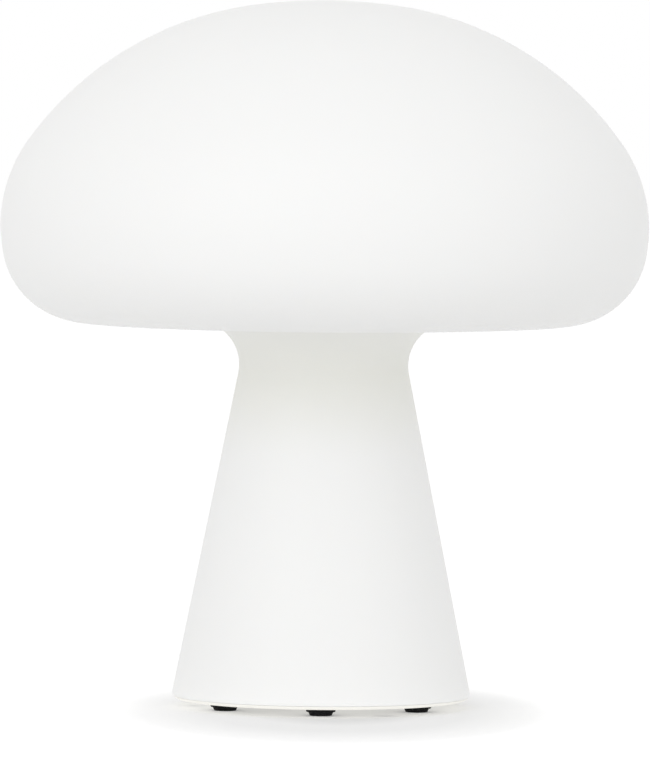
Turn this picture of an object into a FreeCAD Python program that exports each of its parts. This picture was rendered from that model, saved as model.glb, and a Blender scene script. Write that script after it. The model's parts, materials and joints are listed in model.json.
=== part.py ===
import FreeCAD, Part
import math
import os
import re

import Sketcher

# Rechargeable mushroom table lamp: a one-piece opal shell over a light column that stands on the base cover.
# Millimetres, +Z up, the origin on the table under the lamp's axis. The port is at the back, on +Y.

# Driving dimensions: alias, value, what it is
DIMENSIONS = [
    ("lamp_height", 246.5, "table to the top of the cap"),
    ("crown_radius", 179.6, "arc across the top of the cap, centred on the axis"),
    ("crown_sweep", 8.3, "degrees from the axis to the end of the crown arc"),
    ("shoulder_radius", 115.6, "arc between crown and side"),
    ("shoulder_sweep", 46.2, "degrees that the shoulder arc turns"),
    ("side_radius", 51.55, "arc over the widest part of the cap"),
    ("side_sweep", 46.5, "degrees that the side arc turns"),
    ("rim_radius", 29.2, "arc that rolls under the cap"),
    ("underside_rise", 0.72, "degrees by which the underside climbs towards the neck"),
    ("neck_radius", 29.5, "the stem's narrowest outer radius"),
    ("neck_fillet", 15.0, "hollow curve between stem and underside"),
    ("base_radius", 51.95, "outer radius of the base, at the round of its bottom edge"),
    ("shell_wall", 3.0, "wall of the blown shell"),
    ("foot_height", 2.75, "table to the cover's underside"),
    ("edge_round", 2.5, "rounding of the bottom edge, shared by shell and cover"),
    ("lip_height", 1.5, "the part of the bottom edge that belongs to the cover"),
    ("seam_groove", 0.25, "height of the shadow groove between shell and cover"),
    ("seam_depth", 0.8, "depth of that groove"),
    ("plate_thick", 2.5, "cover plate"),
    ("spigot_height", 2.0, "cover ring that reaches up into the shell, above the seam"),
    ("spigot_gap", 0.2, "clearance of that ring to the shell"),
    ("seal_thick", 0.6, "flat seal between cover and collar"),
    ("seal_width", 1.5, "width of the seal"),
    ("collar_height", 12.0, "collar bonded into the stem"),
    ("collar_width", 6.6, "radial width of the collar at its foot"),
    ("bond_gap", 0.05, "glue line between collar and shell, and other bonded faces"),
    ("cover_screw_inset", 3.97, "collar's outer edge to the cover screws"),
    ("cover_screw_count", 3, "cover screws"),
    ("post_count", 3, "tall posts, and as many short posts and light board screws"),
    ("screw_shank", 3.0, "diameter of the cover and column screws"),
    ("screw_head", 5.6, "diameter of their heads"),
    ("screw_head_tall", 2.0, "height of their heads"),
    ("screw_grip", 8.0, "length of thread in the plastic"),
    ("screw_gap", 0.2, "clearance round a screw, on the radius"),
    ("pilot_gap", 0.02, "clearance of a thread core in its pilot hole"),
    ("foot_inset", 13.6, "edge of the base to the middle of the feet"),
    ("foot_count", 6, "feet"),
    ("foot_tread", 7.9, "diameter of a foot where it meets the table"),
    ("foot_shoulder", 8.8, "diameter of the tread at the step"),
    ("foot_step", 1.25, "height of the step above the table"),
    ("foot_flange", 10.2, "diameter of the foot's flange"),
    ("foot_recess", 0.8, "depth of the recess that holds the flange"),
    ("foot_stalk", 4.0, "diameter of the stalk pulled through the cover"),
    ("foot_barb", 5.4, "diameter of the barb above the cover"),
    ("foot_gap", 0.1, "clearance of a foot in its recess and hole, on the radius"),
    ("button_width", 14.0, "diameter of the button"),
    ("button_inset", 0.5, "how far the button lies above the cover's underside"),
    ("button_flange", 17.0, "diameter of the flange that keeps the button in"),
    ("button_flange_thick", 0.8, "thickness of that flange"),
    ("button_dish", 0.5, "depth of the finger dish"),
    ("button_dish_width", 10.4, "diameter of the finger dish"),
    ("button_gap", 0.3, "clearance round the button and its flange, on the radius"),
    ("button_travel", 0.8, "stroke of the button"),
    ("button_play", 0.1, "play below the flange at rest"),
    ("touch_gap", 0.05, "play between button and plunger"),
    ("guide_wall", 1.6, "ring on the cover that guides the button"),
    ("guide_height", 2.4, "height of that ring above the plate"),
    ("plunger_width", 3.4, "diameter of the switch plunger"),
    ("plunger_out", 1.5, "how far the plunger stands out of the switch"),
    ("plunger_gap", 0.08, "clearance of the plunger in the switch, on the radius"),
    ("switch_width", 6.0, "side of the square switch"),
    ("switch_tall", 3.5, "height of the switch"),
    ("board_height", 8.9, "board's underside above the cover's underside"),
    ("board_thick", 1.6, "circuit board"),
    ("board_rim_gap", 2.07, "clearance of the control board in the collar"),
    ("board_post", 6.0, "diameter of the short posts under the board"),
    ("board_post_inset", 5.5, "board's edge to the middle of those posts"),
    ("small_shank", 2.5, "diameter of the small screws in the boards"),
    ("small_head", 4.8, "diameter of their heads"),
    ("small_head_tall", 1.5, "height of their heads"),
    ("small_grip", 5.0, "their thread below the board"),
    ("column_post", 7.0, "diameter of the tall posts that carry the column"),
    ("column_post_inset", 7.5, "board's edge to the middle of the tall posts"),
    ("post_gap", 0.3, "clearance of the board round a tall post"),
    ("tray_room", 0.8, "room between the board's sockets and the battery tray"),
    ("rib_thick", 1.4, "radial ribs on the cover"),
    ("rib_height", 3.0, "height of the ribs above the plate"),
    ("tray_thick", 2.0, "battery tray"),
    ("tray_spigot", 1.5, "height of the tray's spigot in the column"),
    ("flange_margin", 0.5, "edge of the tray and of the column's flange beyond a tall post"),
    ("column_flange_thick", 2.5, "thickness of the flange"),
    ("cell_room", 0.6, "clearance of the two cells in the column's bore"),
    ("column_foot_wall", 4.4, "column's wall above the flange"),
    ("column_top_wall", 2.4, "column's wall at the top"),
    ("column_head_room", 13.0, "space over the battery, up to the top ring"),
    ("column_ring_thick", 4.0, "ring at the top of the column"),
    ("column_ring_bore", 13.0, "radius of the hole in that ring"),
    ("column_web", 2.0, "floor over the cells"),
    ("window_wide", 9.0, "width of the column's windows"),
    ("window_margin", 10.6, "ends of the cells to the ends of the windows"),
    ("window_count", 4, "windows"),
    ("gusset_thick", 1.6, "gussets between flange and tube"),
    ("gusset_reach", 5.0, "length and height of a gusset"),
    ("cell_width", 18.4, "diameter of a battery cell"),
    ("cell_length", 65.2, "length of a battery cell"),
    ("cell_gap", 0.4, "space between the two cells"),
    ("cell_nub", 6.0, "diameter of a cell's raised contact"),
    ("cell_nub_tall", 0.6, "height of that contact"),
    ("pad_width", 13.0, "diameter of the foam pads"),
    ("pad_lower_thick", 0.9, "pads under the cells"),
    ("pad_upper_thick", 2.0, "pads over the cells"),
    ("strip_thick", 0.3, "nickel strips"),
    ("strip_wide", 6.0, "width of the strips"),
    ("tab_gap", 1.4, "end of the strips' solder tab to the lead that turns down beyond it"),
    ("lead_width", 1.6, "diameter of an insulated lead"),
    ("lead_spacing", 2.4, "distance between two leads"),
    ("lead_inset", 3.6, "column's bore to the axis of the leads in it"),
    ("lead_straight", 0.2, "straight stretch of a lead in front of its plug"),
    ("lead_bend", 2.6, "bend radius of the leads' axes"),
    ("lead_gap", 0.1, "clearance of a lead in the light board"),
    ("lead_lift", 0.02, "play between a lead and the strip that it is soldered to"),
    ("lead_end", 0.6, "stub of a lead above the light board"),
    ("lead_slot_wide", 7.0, "slots for the leads, across"),
    ("lead_slot_deep", 3.2, "slots for the leads, from front to back"),
    ("light_gap", 2.1, "clearance of the heat sink in the neck"),
    ("sink_shoulder", 1.5, "height of that shoulder"),
    ("sink_step", 1.9, "width of the shoulder, on which the diffuser stands"),
    ("sink_thick", 3.0, "heat sink"),
    ("sink_gap", 0.2, "clearance of the sink's boss in the ring, and of the diffuser on the sink"),
    ("light_board_margin", 1.8, "edge of the heat sink beyond the light board"),
    ("light_screw_inset", 4.0, "hole in the ring to the middle of the light board's screws"),
    ("light_grip", 3.4, "their thread in the column's ring"),
    ("chip_long", 3.5, "length of a light chip"),
    ("chip_wide", 2.8, "width of a light chip"),
    ("chip_tall", 0.8, "height of a light chip"),
    ("chip_outer_circle", 10.5, "radius of the outer ring of chips"),
    ("chip_outer_count", 8, "chips in the outer ring"),
    ("chip_inner_circle", 4.5, "radius of the inner ring of chips"),
    ("chip_inner_count", 4, "chips in the inner ring"),
    ("diffuser_wall", 1.6, "wall of the diffuser"),
    ("diffuser_skirt", 4.5, "height of its straight skirt"),
    ("dome_rise", 11.6, "height of its dome"),
    ("socket_wide", 8.94, "width of the charging socket"),
    ("socket_tall", 3.26, "height of the charging socket"),
    ("socket_long", 7.3, "length of the charging socket"),
    ("socket_wall", 0.3, "its sheet metal"),
    ("socket_setback", 5.08, "inside of the stem to the mouth of the charging socket"),
    ("tongue_wide", 6.7, "width of the tongue in the socket"),
    ("tongue_thick", 0.7, "thickness of the tongue"),
    ("tongue_inset", 1.2, "how far the tongue lies behind the mouth"),
    ("tongue_block", 1.6, "block at the tongue's root"),
    ("port_wide", 12.8, "width of the tunnel for the plug"),
    ("port_tall", 6.8, "height of the tunnel for the plug"),
    ("port_wall", 0.9, "wall of the sleeve round the tunnel"),
    ("port_flange", 1.7, "how far the sleeve's inner flange stands out"),
    ("port_back", 1.2, "wall of the sleeve in front of the socket"),
    ("port_gap", 0.1, "clearance of the sleeve in the shell's hole"),
    ("port_inset", 0.2, "how far the sleeve lies below the shell's face"),
    ("aperture_gap", 0.2, "clearance of the sleeve's slot round the socket's outline"),
    ("window_gap", 0.6, "clearance of the collar's window round the sleeve"),
    ("plug_socket_wide", 8.0, "board sockets of the two lead pairs, across"),
    ("plug_socket_long", 7.0, "length of those sockets"),
    ("plug_socket_tall", 4.6, "height of those sockets"),
    ("plug_socket_wall", 0.8, "wall of those sockets"),
    ("plug_long", 7.5, "length of a plug"),
    ("plug_depth", 4.0, "how far a plug goes in"),
    ("plug_gap", 0.1, "clearance of a plug in its socket"),
    ("column_post_angle", 0, "degrees from +X to the first tall post"),
    ("board_post_angle", 60, "degrees to the first short post"),
    ("cover_screw_angle", 60, "degrees to the first cover screw"),
    ("light_screw_angle", 90, "degrees to the first screw of the light board"),
    ("foot_angle", 30, "degrees to the first foot"),
    ("foot_round", 0.4, "rounding of the tread and of the flange"),
    ("barb_tall", 1.6, "height of the barb above the cover"),
    ("barb_rim", 0.4, "straight rim of the barb"),
    ("button_round", 0.5, "rounding of the button's edge"),
    ("button_stem", 4.2, "diameter of the button's stem under the plunger"),
    ("plunger_round", 0.2, "rounding of the plunger's tip"),
    ("plunger_in", 1.2, "how far the plunger reaches into the switch at rest"),
    ("plunger_room", 1.1, "room above the plunger in the switch"),
    ("pilot_room", 1.0, "depth of a pilot hole beyond the screw's tip"),
    ("core_share", 0.83, "a thread's core diameter over its nominal diameter"),
    ("head_round", 0.6, "rounding of the screw heads"),
    ("slot_wide", 0.8, "width of the cross slots"),
    ("slot_share", 0.6, "length of the cross slots over the head's diameter"),
    ("seal_inset", 0.15, "how far the seal lies inside the cover's ring"),
    ("cell_round", 0.5, "rounding of a cell's foot, and depth of its groove"),
    ("cell_groove_drop", 2.6, "cell's top to the groove under its rim"),
    ("cell_crimp", 1.6, "width of the crimped rim at the cell's top"),
    ("cell_sink", 0.3, "depth of the cell's top face inside that rim"),
    ("lead_overlap", 4.5, "length of a battery lead on its strip"),
    ("solder_width", 2.3, "diameter of the solder rings"),
    ("solder_tall", 0.45, "height of the solder rings"),
    ("corner_ease", 0.05, "straight left in the middle of each rounded end"),
]

# The larger components on the control board: direction in degrees, inset from the board's edge, then sizes
BOARD_PIECES = [
    ("charging_chip", 39, 17.5, 5, 4, 1.5),
    ("driver_chip", 145, 18.7, 4, 4, 1),
    ("power_inductor", -22, 18, 7, 7, 3.2),
    ("charge_light", 72, 2.8, 2, 1.25, 0.8),
    ("chip_capacitors", 9, 13.2, 3.2, 1.6, 1.2),
]
BOARD_PIECE_SIZES = ("angle", "inset", "wide", "deep", "tall")
for piece, *sizes in BOARD_PIECES:
    for side, size in zip(BOARD_PIECE_SIZES, sizes):
        DIMENSIONS.append((f"{piece}_{side}", size, f"{piece}, {side}".replace("_", " ")))

# Sizes that follow from the driving ones
FORMULAS = [
    ("crown_level", "lamp_height - crown_radius"),
    ("shoulder_angle", "90 - crown_sweep"),
    ("shoulder_across", "(crown_radius - shoulder_radius) * cos(shoulder_angle)"),
    ("shoulder_level", "crown_level + (crown_radius - shoulder_radius) * sin(shoulder_angle)"),
    ("side_angle", "shoulder_angle - shoulder_sweep"),
    ("side_across", "shoulder_across + (shoulder_radius - side_radius) * cos(side_angle)"),
    ("side_level", "shoulder_level + (shoulder_radius - side_radius) * sin(side_angle)"),
    ("rim_angle", "side_angle - side_sweep"),
    ("rim_across", "side_across + (side_radius - rim_radius) * cos(rim_angle)"),
    ("rim_level", "side_level + (side_radius - rim_radius) * sin(rim_angle)"),
    ("rim_end_across", "rim_across - rim_radius * sin(underside_rise)"),
    ("rim_end_level", "rim_level - rim_radius * cos(underside_rise)"),
    ("neck_across", "neck_radius + neck_fillet"),
    ("neck_touch", "neck_across + neck_fillet * sin(underside_rise)"),
    ("neck_touch_level", "rim_end_level + (rim_end_across - neck_touch) * tan(underside_rise)"),
    ("neck_level", "neck_touch_level - neck_fillet * cos(underside_rise)"),
    ("edge_across", "base_radius - edge_round"),
    ("edge_level", "foot_height + edge_round"),
    ("stem_run", "edge_across - neck_across"),
    ("stem_rise", "neck_level - edge_level"),
    ("stem_reach", "sqrt(stem_run ^ 2 + stem_rise ^ 2)"),
    ("stem_taper", "(atan(stem_run / stem_rise) + asin((edge_round + neck_fillet) / stem_reach)) / 1 deg"),
    ("stem_slope", "tan(stem_taper)"),
    ("wall_across", "shell_wall / cos(stem_taper)"),
    ("stem_across", "neck_across - neck_fillet * cos(stem_taper)"),
    ("stem_level", "neck_level - neck_fillet * sin(stem_taper)"),
    ("stem_inner", "stem_across - wall_across"),
    ("cover_top", "foot_height + plate_thick"),
    ("seam_level", "foot_height + lip_height"),
    ("spigot_top", "seam_level + spigot_height"),
    ("collar_foot", "spigot_top + seal_thick"),
    ("collar_top", "collar_foot + collar_height"),
    ("seam_across", "edge_across + sqrt(edge_round ^ 2 - (edge_level - seam_level) ^ 2)"),
    ("lip_across", "edge_across + sqrt(edge_round ^ 2 - (edge_level - seam_level + seam_groove) ^ 2)"),
    ("spigot_across", "stem_inner + (stem_level - spigot_top) * stem_slope - spigot_gap"),
    ("collar_foot_across", "stem_inner + (stem_level - collar_foot) * stem_slope - bond_gap"),
    ("collar_top_across", "stem_inner + (stem_level - collar_top) * stem_slope - bond_gap"),
    ("collar_bore", "collar_foot_across - collar_width"),
    ("cover_screw_circle", "collar_foot_across - cover_screw_inset"),
    ("foot_circle", "base_radius - foot_inset"),
    ("foot_seat", "foot_height + foot_recess"),
    ("screw_core", "screw_shank * core_share"),
    ("small_core", "small_shank * core_share"),
    ("screw_pilot", "screw_core + 2 * pilot_gap"),
    ("small_pilot", "small_core + 2 * pilot_gap"),
    ("screw_way", "screw_shank + 2 * screw_gap"),
    ("small_way", "small_shank + 2 * screw_gap"),
    ("screw_bearing", "foot_height + screw_head_tall + screw_gap"),
    ("board_radius", "collar_bore - board_rim_gap"),
    ("board_post_circle", "board_radius - board_post_inset"),
    ("column_post_circle", "board_radius - column_post_inset"),
    ("column_flange", "column_post_circle + column_post / 2 + flange_margin"),
    ("board_foot", "foot_height + board_height"),
    ("board_top", "board_foot + board_thick"),
    ("post_top", "board_top + plug_socket_tall + tray_room"),
    ("tray_top", "post_top + tray_thick"),
    ("tray_floor", "tray_top + tray_spigot"),
    ("flange_top", "tray_top + column_flange_thick"),
    ("button_face", "foot_height + button_inset"),
    ("button_flange_foot", "cover_top + button_play"),
    ("button_way", "button_width / 2 + button_gap"),
    ("guide_bore", "button_flange / 2 + button_gap"),
    ("guide_out", "guide_bore + guide_wall"),
    ("switch_foot", "board_foot - switch_tall"),
    ("plunger_foot", "switch_foot - plunger_out"),
    ("cell_reach", "(cell_width + cell_gap) / 2"),
    ("strip_lower_foot", "tray_floor + pad_lower_thick"),
    ("cell_foot", "strip_lower_foot + strip_thick"),
    ("cell_top", "cell_foot + cell_length"),
    ("strip_upper_top", "cell_top + strip_thick"),
    ("strip_half", "cell_reach + strip_wide / 2"),
    ("web_foot", "strip_upper_top + pad_upper_thick"),
    ("web_top", "web_foot + column_web"),
    ("column_bore", "cell_reach + cell_width / 2 + cell_room"),
    ("column_foot_out", "column_bore + column_foot_wall"),
    ("column_top_out", "column_bore + column_top_wall"),
    ("column_top", "web_top + column_head_room + column_ring_thick"),
    ("column_ring_foot", "column_top - column_ring_thick"),
    ("light_board_foot", "column_top + sink_thick"),
    ("light_board_top", "light_board_foot + board_thick"),
    ("light_screw_circle", "column_ring_bore + light_screw_inset"),
    ("sink_radius", "neck_radius - shell_wall - light_gap"),
    ("sink_top_radius", "sink_radius - sink_step"),
    ("light_board_radius", "sink_top_radius - light_board_margin"),
    ("diffuser_foot", "column_top + sink_shoulder"),
    ("diffuser_shoulder", "diffuser_foot + diffuser_skirt"),
    ("diffuser_inner", "sink_top_radius + sink_gap"),
    ("diffuser_crown", "(sink_radius ^ 2 + dome_rise ^ 2) / (2 * dome_rise)"),
    ("crown_inner", "diffuser_crown - diffuser_wall"),
    ("crown_inner_level", "diffuser_shoulder + crown_inner - sqrt(crown_inner ^ 2 - diffuser_inner ^ 2)"),
    ("socket_level", "board_top + socket_tall / 2"),
    ("socket_front", "stem_inner + (stem_level - socket_level) * stem_slope - socket_setback"),
    ("socket_back", "socket_front - socket_long"),
    ("sleeve_back", "socket_front + touch_gap"),
    ("sleeve_wide", "port_wide + 2 * port_wall"),
    ("sleeve_tall", "port_tall + 2 * port_wall"),
    ("lead_level", "board_top + plug_socket_tall / 2"),
    ("lead_reach", "column_bore - lead_inset"),
    ("strip_tab", "lead_reach - lead_width / 2 - tab_gap"),
    ("plug_end", "lead_reach + lead_bend + lead_straight"),
    ("plug_mouth", "plug_end + plug_long + plug_gap - plug_depth"),
]

DOC = FreeCAD.newDocument("mushroom_lamp")
SHEET = DOC.addObject("Spreadsheet::Sheet", "dims")
SCRATCH = DOC.addObject("Spreadsheet::Sheet", "scratch")
PARTS = []
ORIGIN, H_AXIS = -1, -1
V_AXIS = H_AXIS - 1
START, END, CENTRE = range(1, 4)
UP = FreeCAD.Vector(0, 0, 1)
SMALL_VOLUME = 0.01


def fill_sheet():
    """Driving sizes in column B and derived ones in column D, each with its alias."""
    for row, (alias, value, meaning) in enumerate(DIMENSIONS, start=1):
        SHEET.set(f"A{row}", meaning)
        SHEET.set(f"B{row}", str(value))
        SHEET.setAlias(f"B{row}", alias)
    for row, (alias, formula) in enumerate(FORMULAS, start=1):
        SHEET.set(f"C{row}", alias.replace("_", " "))
        SHEET.set(f"D{row}", "=" + formula)
        SHEET.setAlias(f"D{row}", alias)
    DOC.recompute()


fill_sheet()
ALIASES = {alias for alias, *_ in DIMENSIONS} | {alias for alias, _ in FORMULAS}


def bound(formula):
    """The formula with each alias written as a reference to the sheet."""
    return re.sub(r"[a-z_]+", lambda word: ("dims." if word[0] in ALIASES else "") + word[0], formula)


def number(formula):
    """The value of a formula, worked out on a second sheet, so that the first stays untouched."""
    SCRATCH.set("A1", f"=({bound(formula)})")
    SCRATCH.recompute()
    return float(SCRATCH.get("A1"))


def new_body(label):
    body = DOC.addObject("PartDesign::Body", label)
    body.Label = label
    PARTS.append(body)
    return body


def plane(body, role):
    return next(item for item in body.Origin.OriginFeatures if item.Role == role)


def new_sketch(body, name, role, lift="0"):
    """A sketch on one of the body's own planes, lifted along that plane's normal."""
    sketch = body.newObject("Sketcher::SketchObject", f"{body.Name}_{name}")
    sketch.AttachmentSupport = (plane(body, role), [""])
    sketch.MapMode = "FlatFace"
    sketch.AttachmentOffset = FreeCAD.Placement(FreeCAD.Vector(0, 0, number(lift)), FreeCAD.Rotation())
    sketch.setExpression("AttachmentOffset.Base.z", bound(lift))
    return sketch


def fix(sketch, kind, *place, size):
    """One dimension of a sketch, bound to the sheet."""
    value = number(size)
    if kind == "Angle":
        value = math.radians(value)
    index = sketch.addConstraint(Sketcher.Constraint(kind, *place, value))
    unit = " * 1 deg" if kind == "Angle" else ""
    sketch.setExpression(f"Constraints[{index}]", f"({bound(size)}){unit}")


def fix_point(sketch, curve, point, across, up):
    """Place a point of a curve from the sketch's origin."""
    for kind, axis, size in (("DistanceX", V_AXIS, across), ("DistanceY", H_AXIS, up)):
        if size == "0":
            sketch.addConstraint(Sketcher.Constraint("PointOnObject", curve, point, axis))
        else:
            fix(sketch, kind, ORIGIN, 1, curve, point, size=size)


def draw_outline(sketch, corners):
    """A closed outline of (across, up) corners. A corner with a radius and a side is reached by an arc,
    whose centre lies to the left (1) or right (-1) of the way there."""
    places = [FreeCAD.Vector(number(corner[0]), number(corner[1]), 0) for corner in corners]
    ends = []
    for index, corner in enumerate(corners):
        here, before = places[index], places[index - 1]
        if len(corner) == 2:
            curve = sketch.addGeometry(Part.LineSegment(before, here), False)
            ends.append((curve, START, END))
            continue
        radius, side = number(corner[2]), corner[3]
        chord = here - before
        middle = before + chord * 0.5
        left = FreeCAD.Vector(-chord.y, chord.x, 0).normalize()
        centre = middle + left * side * math.sqrt(max(radius**2 - (chord.Length / 2) ** 2, 0))
        first, last = (before, here) if side > 0 else (here, before)
        angles = [math.atan2(point.y - centre.y, point.x - centre.x) for point in (first, last)]
        curve = sketch.addGeometry(Part.ArcOfCircle(Part.Circle(centre, UP, radius), *angles), False)
        ends.append((curve, START, END) if side > 0 else (curve, END, START))
    for index, (curve, _, finish) in enumerate(ends):
        following = ends[(index + 1) % len(ends)]
        sketch.addConstraint(Sketcher.Constraint("Coincident", curve, finish, following[0], following[1]))
    for corner, (curve, _, finish) in zip(corners, ends):
        fix_point(sketch, curve, finish, corner[0], corner[1])
        if len(corner) > 2:
            fix(sketch, "Radius", curve, size=corner[2])


def draw_circle(sketch, across, up, width):
    centre = FreeCAD.Vector(number(across), number(up), 0)
    curve = sketch.addGeometry(Part.Circle(centre, UP, number(width) / 2), False)
    fix_point(sketch, curve, CENTRE, across, up)
    fix(sketch, "Diameter", curve, size=width)


def box_corners(across, up, wide, tall):
    """A rectangle round a centre."""
    left, right = f"{across} - ({wide}) / 2", f"{across} + ({wide}) / 2"
    low, high = f"{up} - ({tall}) / 2", f"{up} + ({tall}) / 2"
    return [(left, low), (right, low), (right, high), (left, high)]


def round_box_corners(across, up, wide, tall, corner):
    """A rectangle with rounded corners round a centre."""
    left, right = f"{across} - ({wide}) / 2", f"{across} + ({wide}) / 2"
    low, high = f"{up} - ({tall}) / 2", f"{up} + ({tall}) / 2"
    corner = f"({corner})"
    return [
        (f"{left} + {corner}", low),
        (f"{right} - {corner}", low),
        (right, f"{low} + {corner}", corner, 1),
        (right, f"{high} - {corner}"),
        (f"{right} - {corner}", high, corner, 1),
        (f"{left} + {corner}", high),
        (left, f"{high} - {corner}", corner, 1),
        (left, f"{low} + {corner}"),
        (f"{left} + {corner}", low, corner, 1),
    ][1:]


def feature(body, kind, name, sketch):
    made = body.newObject(f"PartDesign::{kind}", f"{body.Name}_{name}")
    made.Profile = sketch
    sketch.Visibility = False
    return made


def turn(body, name, corners, kind="Revolution"):
    """A profile in the XZ plane turned round the lamp's axis."""
    sketch = new_sketch(body, name + "_profile", "XZ_Plane")
    draw_outline(sketch, corners)
    made = feature(body, kind, name, sketch)
    made.ReferenceAxis = (sketch, ["V_Axis"])
    made.Angle = 360
    return finished(body, made, kind == "Groove")


def finished(body, made, is_cut):
    """Recompute, and make sure that a cut removed something and that a boss added something."""
    before = made.BaseFeature.Shape.Volume if made.BaseFeature else 0
    DOC.recompute()
    change = made.Shape.Volume - before
    if (is_cut and change >= 0) or (not is_cut and change <= 0):
        raise ValueError(f"{made.Name} changes nothing")
    return made


def pad(body, name, draw, thickness, role="XY_Plane", lift="0", both_ways=False, down=False):
    """A sketch drawn by draw(sketch) and pushed out of its plane."""
    sketch = new_sketch(body, name + "_outline", role, lift)
    draw(sketch)
    made = feature(body, "Pad", name, sketch)
    made.setExpression("Length", bound(thickness))
    made.Midplane = both_ways
    made.Reversed = down
    return finished(body, made, False)


def pocket(body, name, draw, depth, role="XY_Plane", lift="0", away=False):
    """A sketch cut into the body, against its plane's normal, or along it with away."""
    sketch = new_sketch(body, name + "_outline", role, lift)
    draw(sketch)
    made = feature(body, "Pocket", name, sketch)
    made.setExpression("Length", bound(depth))
    made.Reversed = away
    return finished(body, made, True)


def around(body, name, count, *repeated):
    """Repeat features round the lamp's axis."""
    pattern = body.newObject("PartDesign::PolarPattern", f"{body.Name}_{name}")
    pattern.Originals = list(repeated)
    pattern.Axis = (plane(body, "Z_Axis"), [""])
    pattern.Angle = 360
    pattern.setExpression("Occurrences", bound(count))
    body.Tip = pattern
    before = repeated[-1].Shape.Volume
    DOC.recompute()
    if abs(pattern.Shape.Volume - before) < SMALL_VOLUME:
        raise ValueError(f"{pattern.Name} repeats nothing")
    return pattern


def disc(width, across="0", up="0"):
    """A drawing for pad and pocket of a circle."""
    return lambda sketch: draw_circle(sketch, across, up, width)


def outline_of(corners):
    """A drawing for pad and pocket of a closed outline."""
    return lambda sketch: draw_outline(sketch, corners)


def box_at(across, up, wide, tall):
    return outline_of(box_corners(across, up, wide, tall))


def ring_of(body, name, kind, circle, angle, width, length, count, lift="0", away=False):
    """Round bosses or holes, spaced evenly on a circle round the axis."""
    circle_at = disc(width, f"{circle} * cos({angle})", f"{circle} * sin({angle})")
    if kind == "Pad":
        made = pad(body, name, circle_at, length, lift=lift)
    else:
        made = pocket(body, name, circle_at, length, lift=lift, away=away)
    return around(body, f"{name}s", count, made)


def long_round(across, up, wide, tall):
    """A drawing of a box whose shorter sides are rounded all the way."""
    return outline_of(round_box_corners(across, up, wide, tall, f"({tall}) / 2 - corner_ease"))


def concentric_arc(sketch, centre, radius, low, high):
    """An arc from the lower to the higher angle, in degrees, with the place of its centre."""
    circle = Part.Circle(FreeCAD.Vector(*centre, 0), UP, radius)
    return sketch.addGeometry(Part.ArcOfCircle(circle, math.radians(low), math.radians(high)), False)


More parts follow.
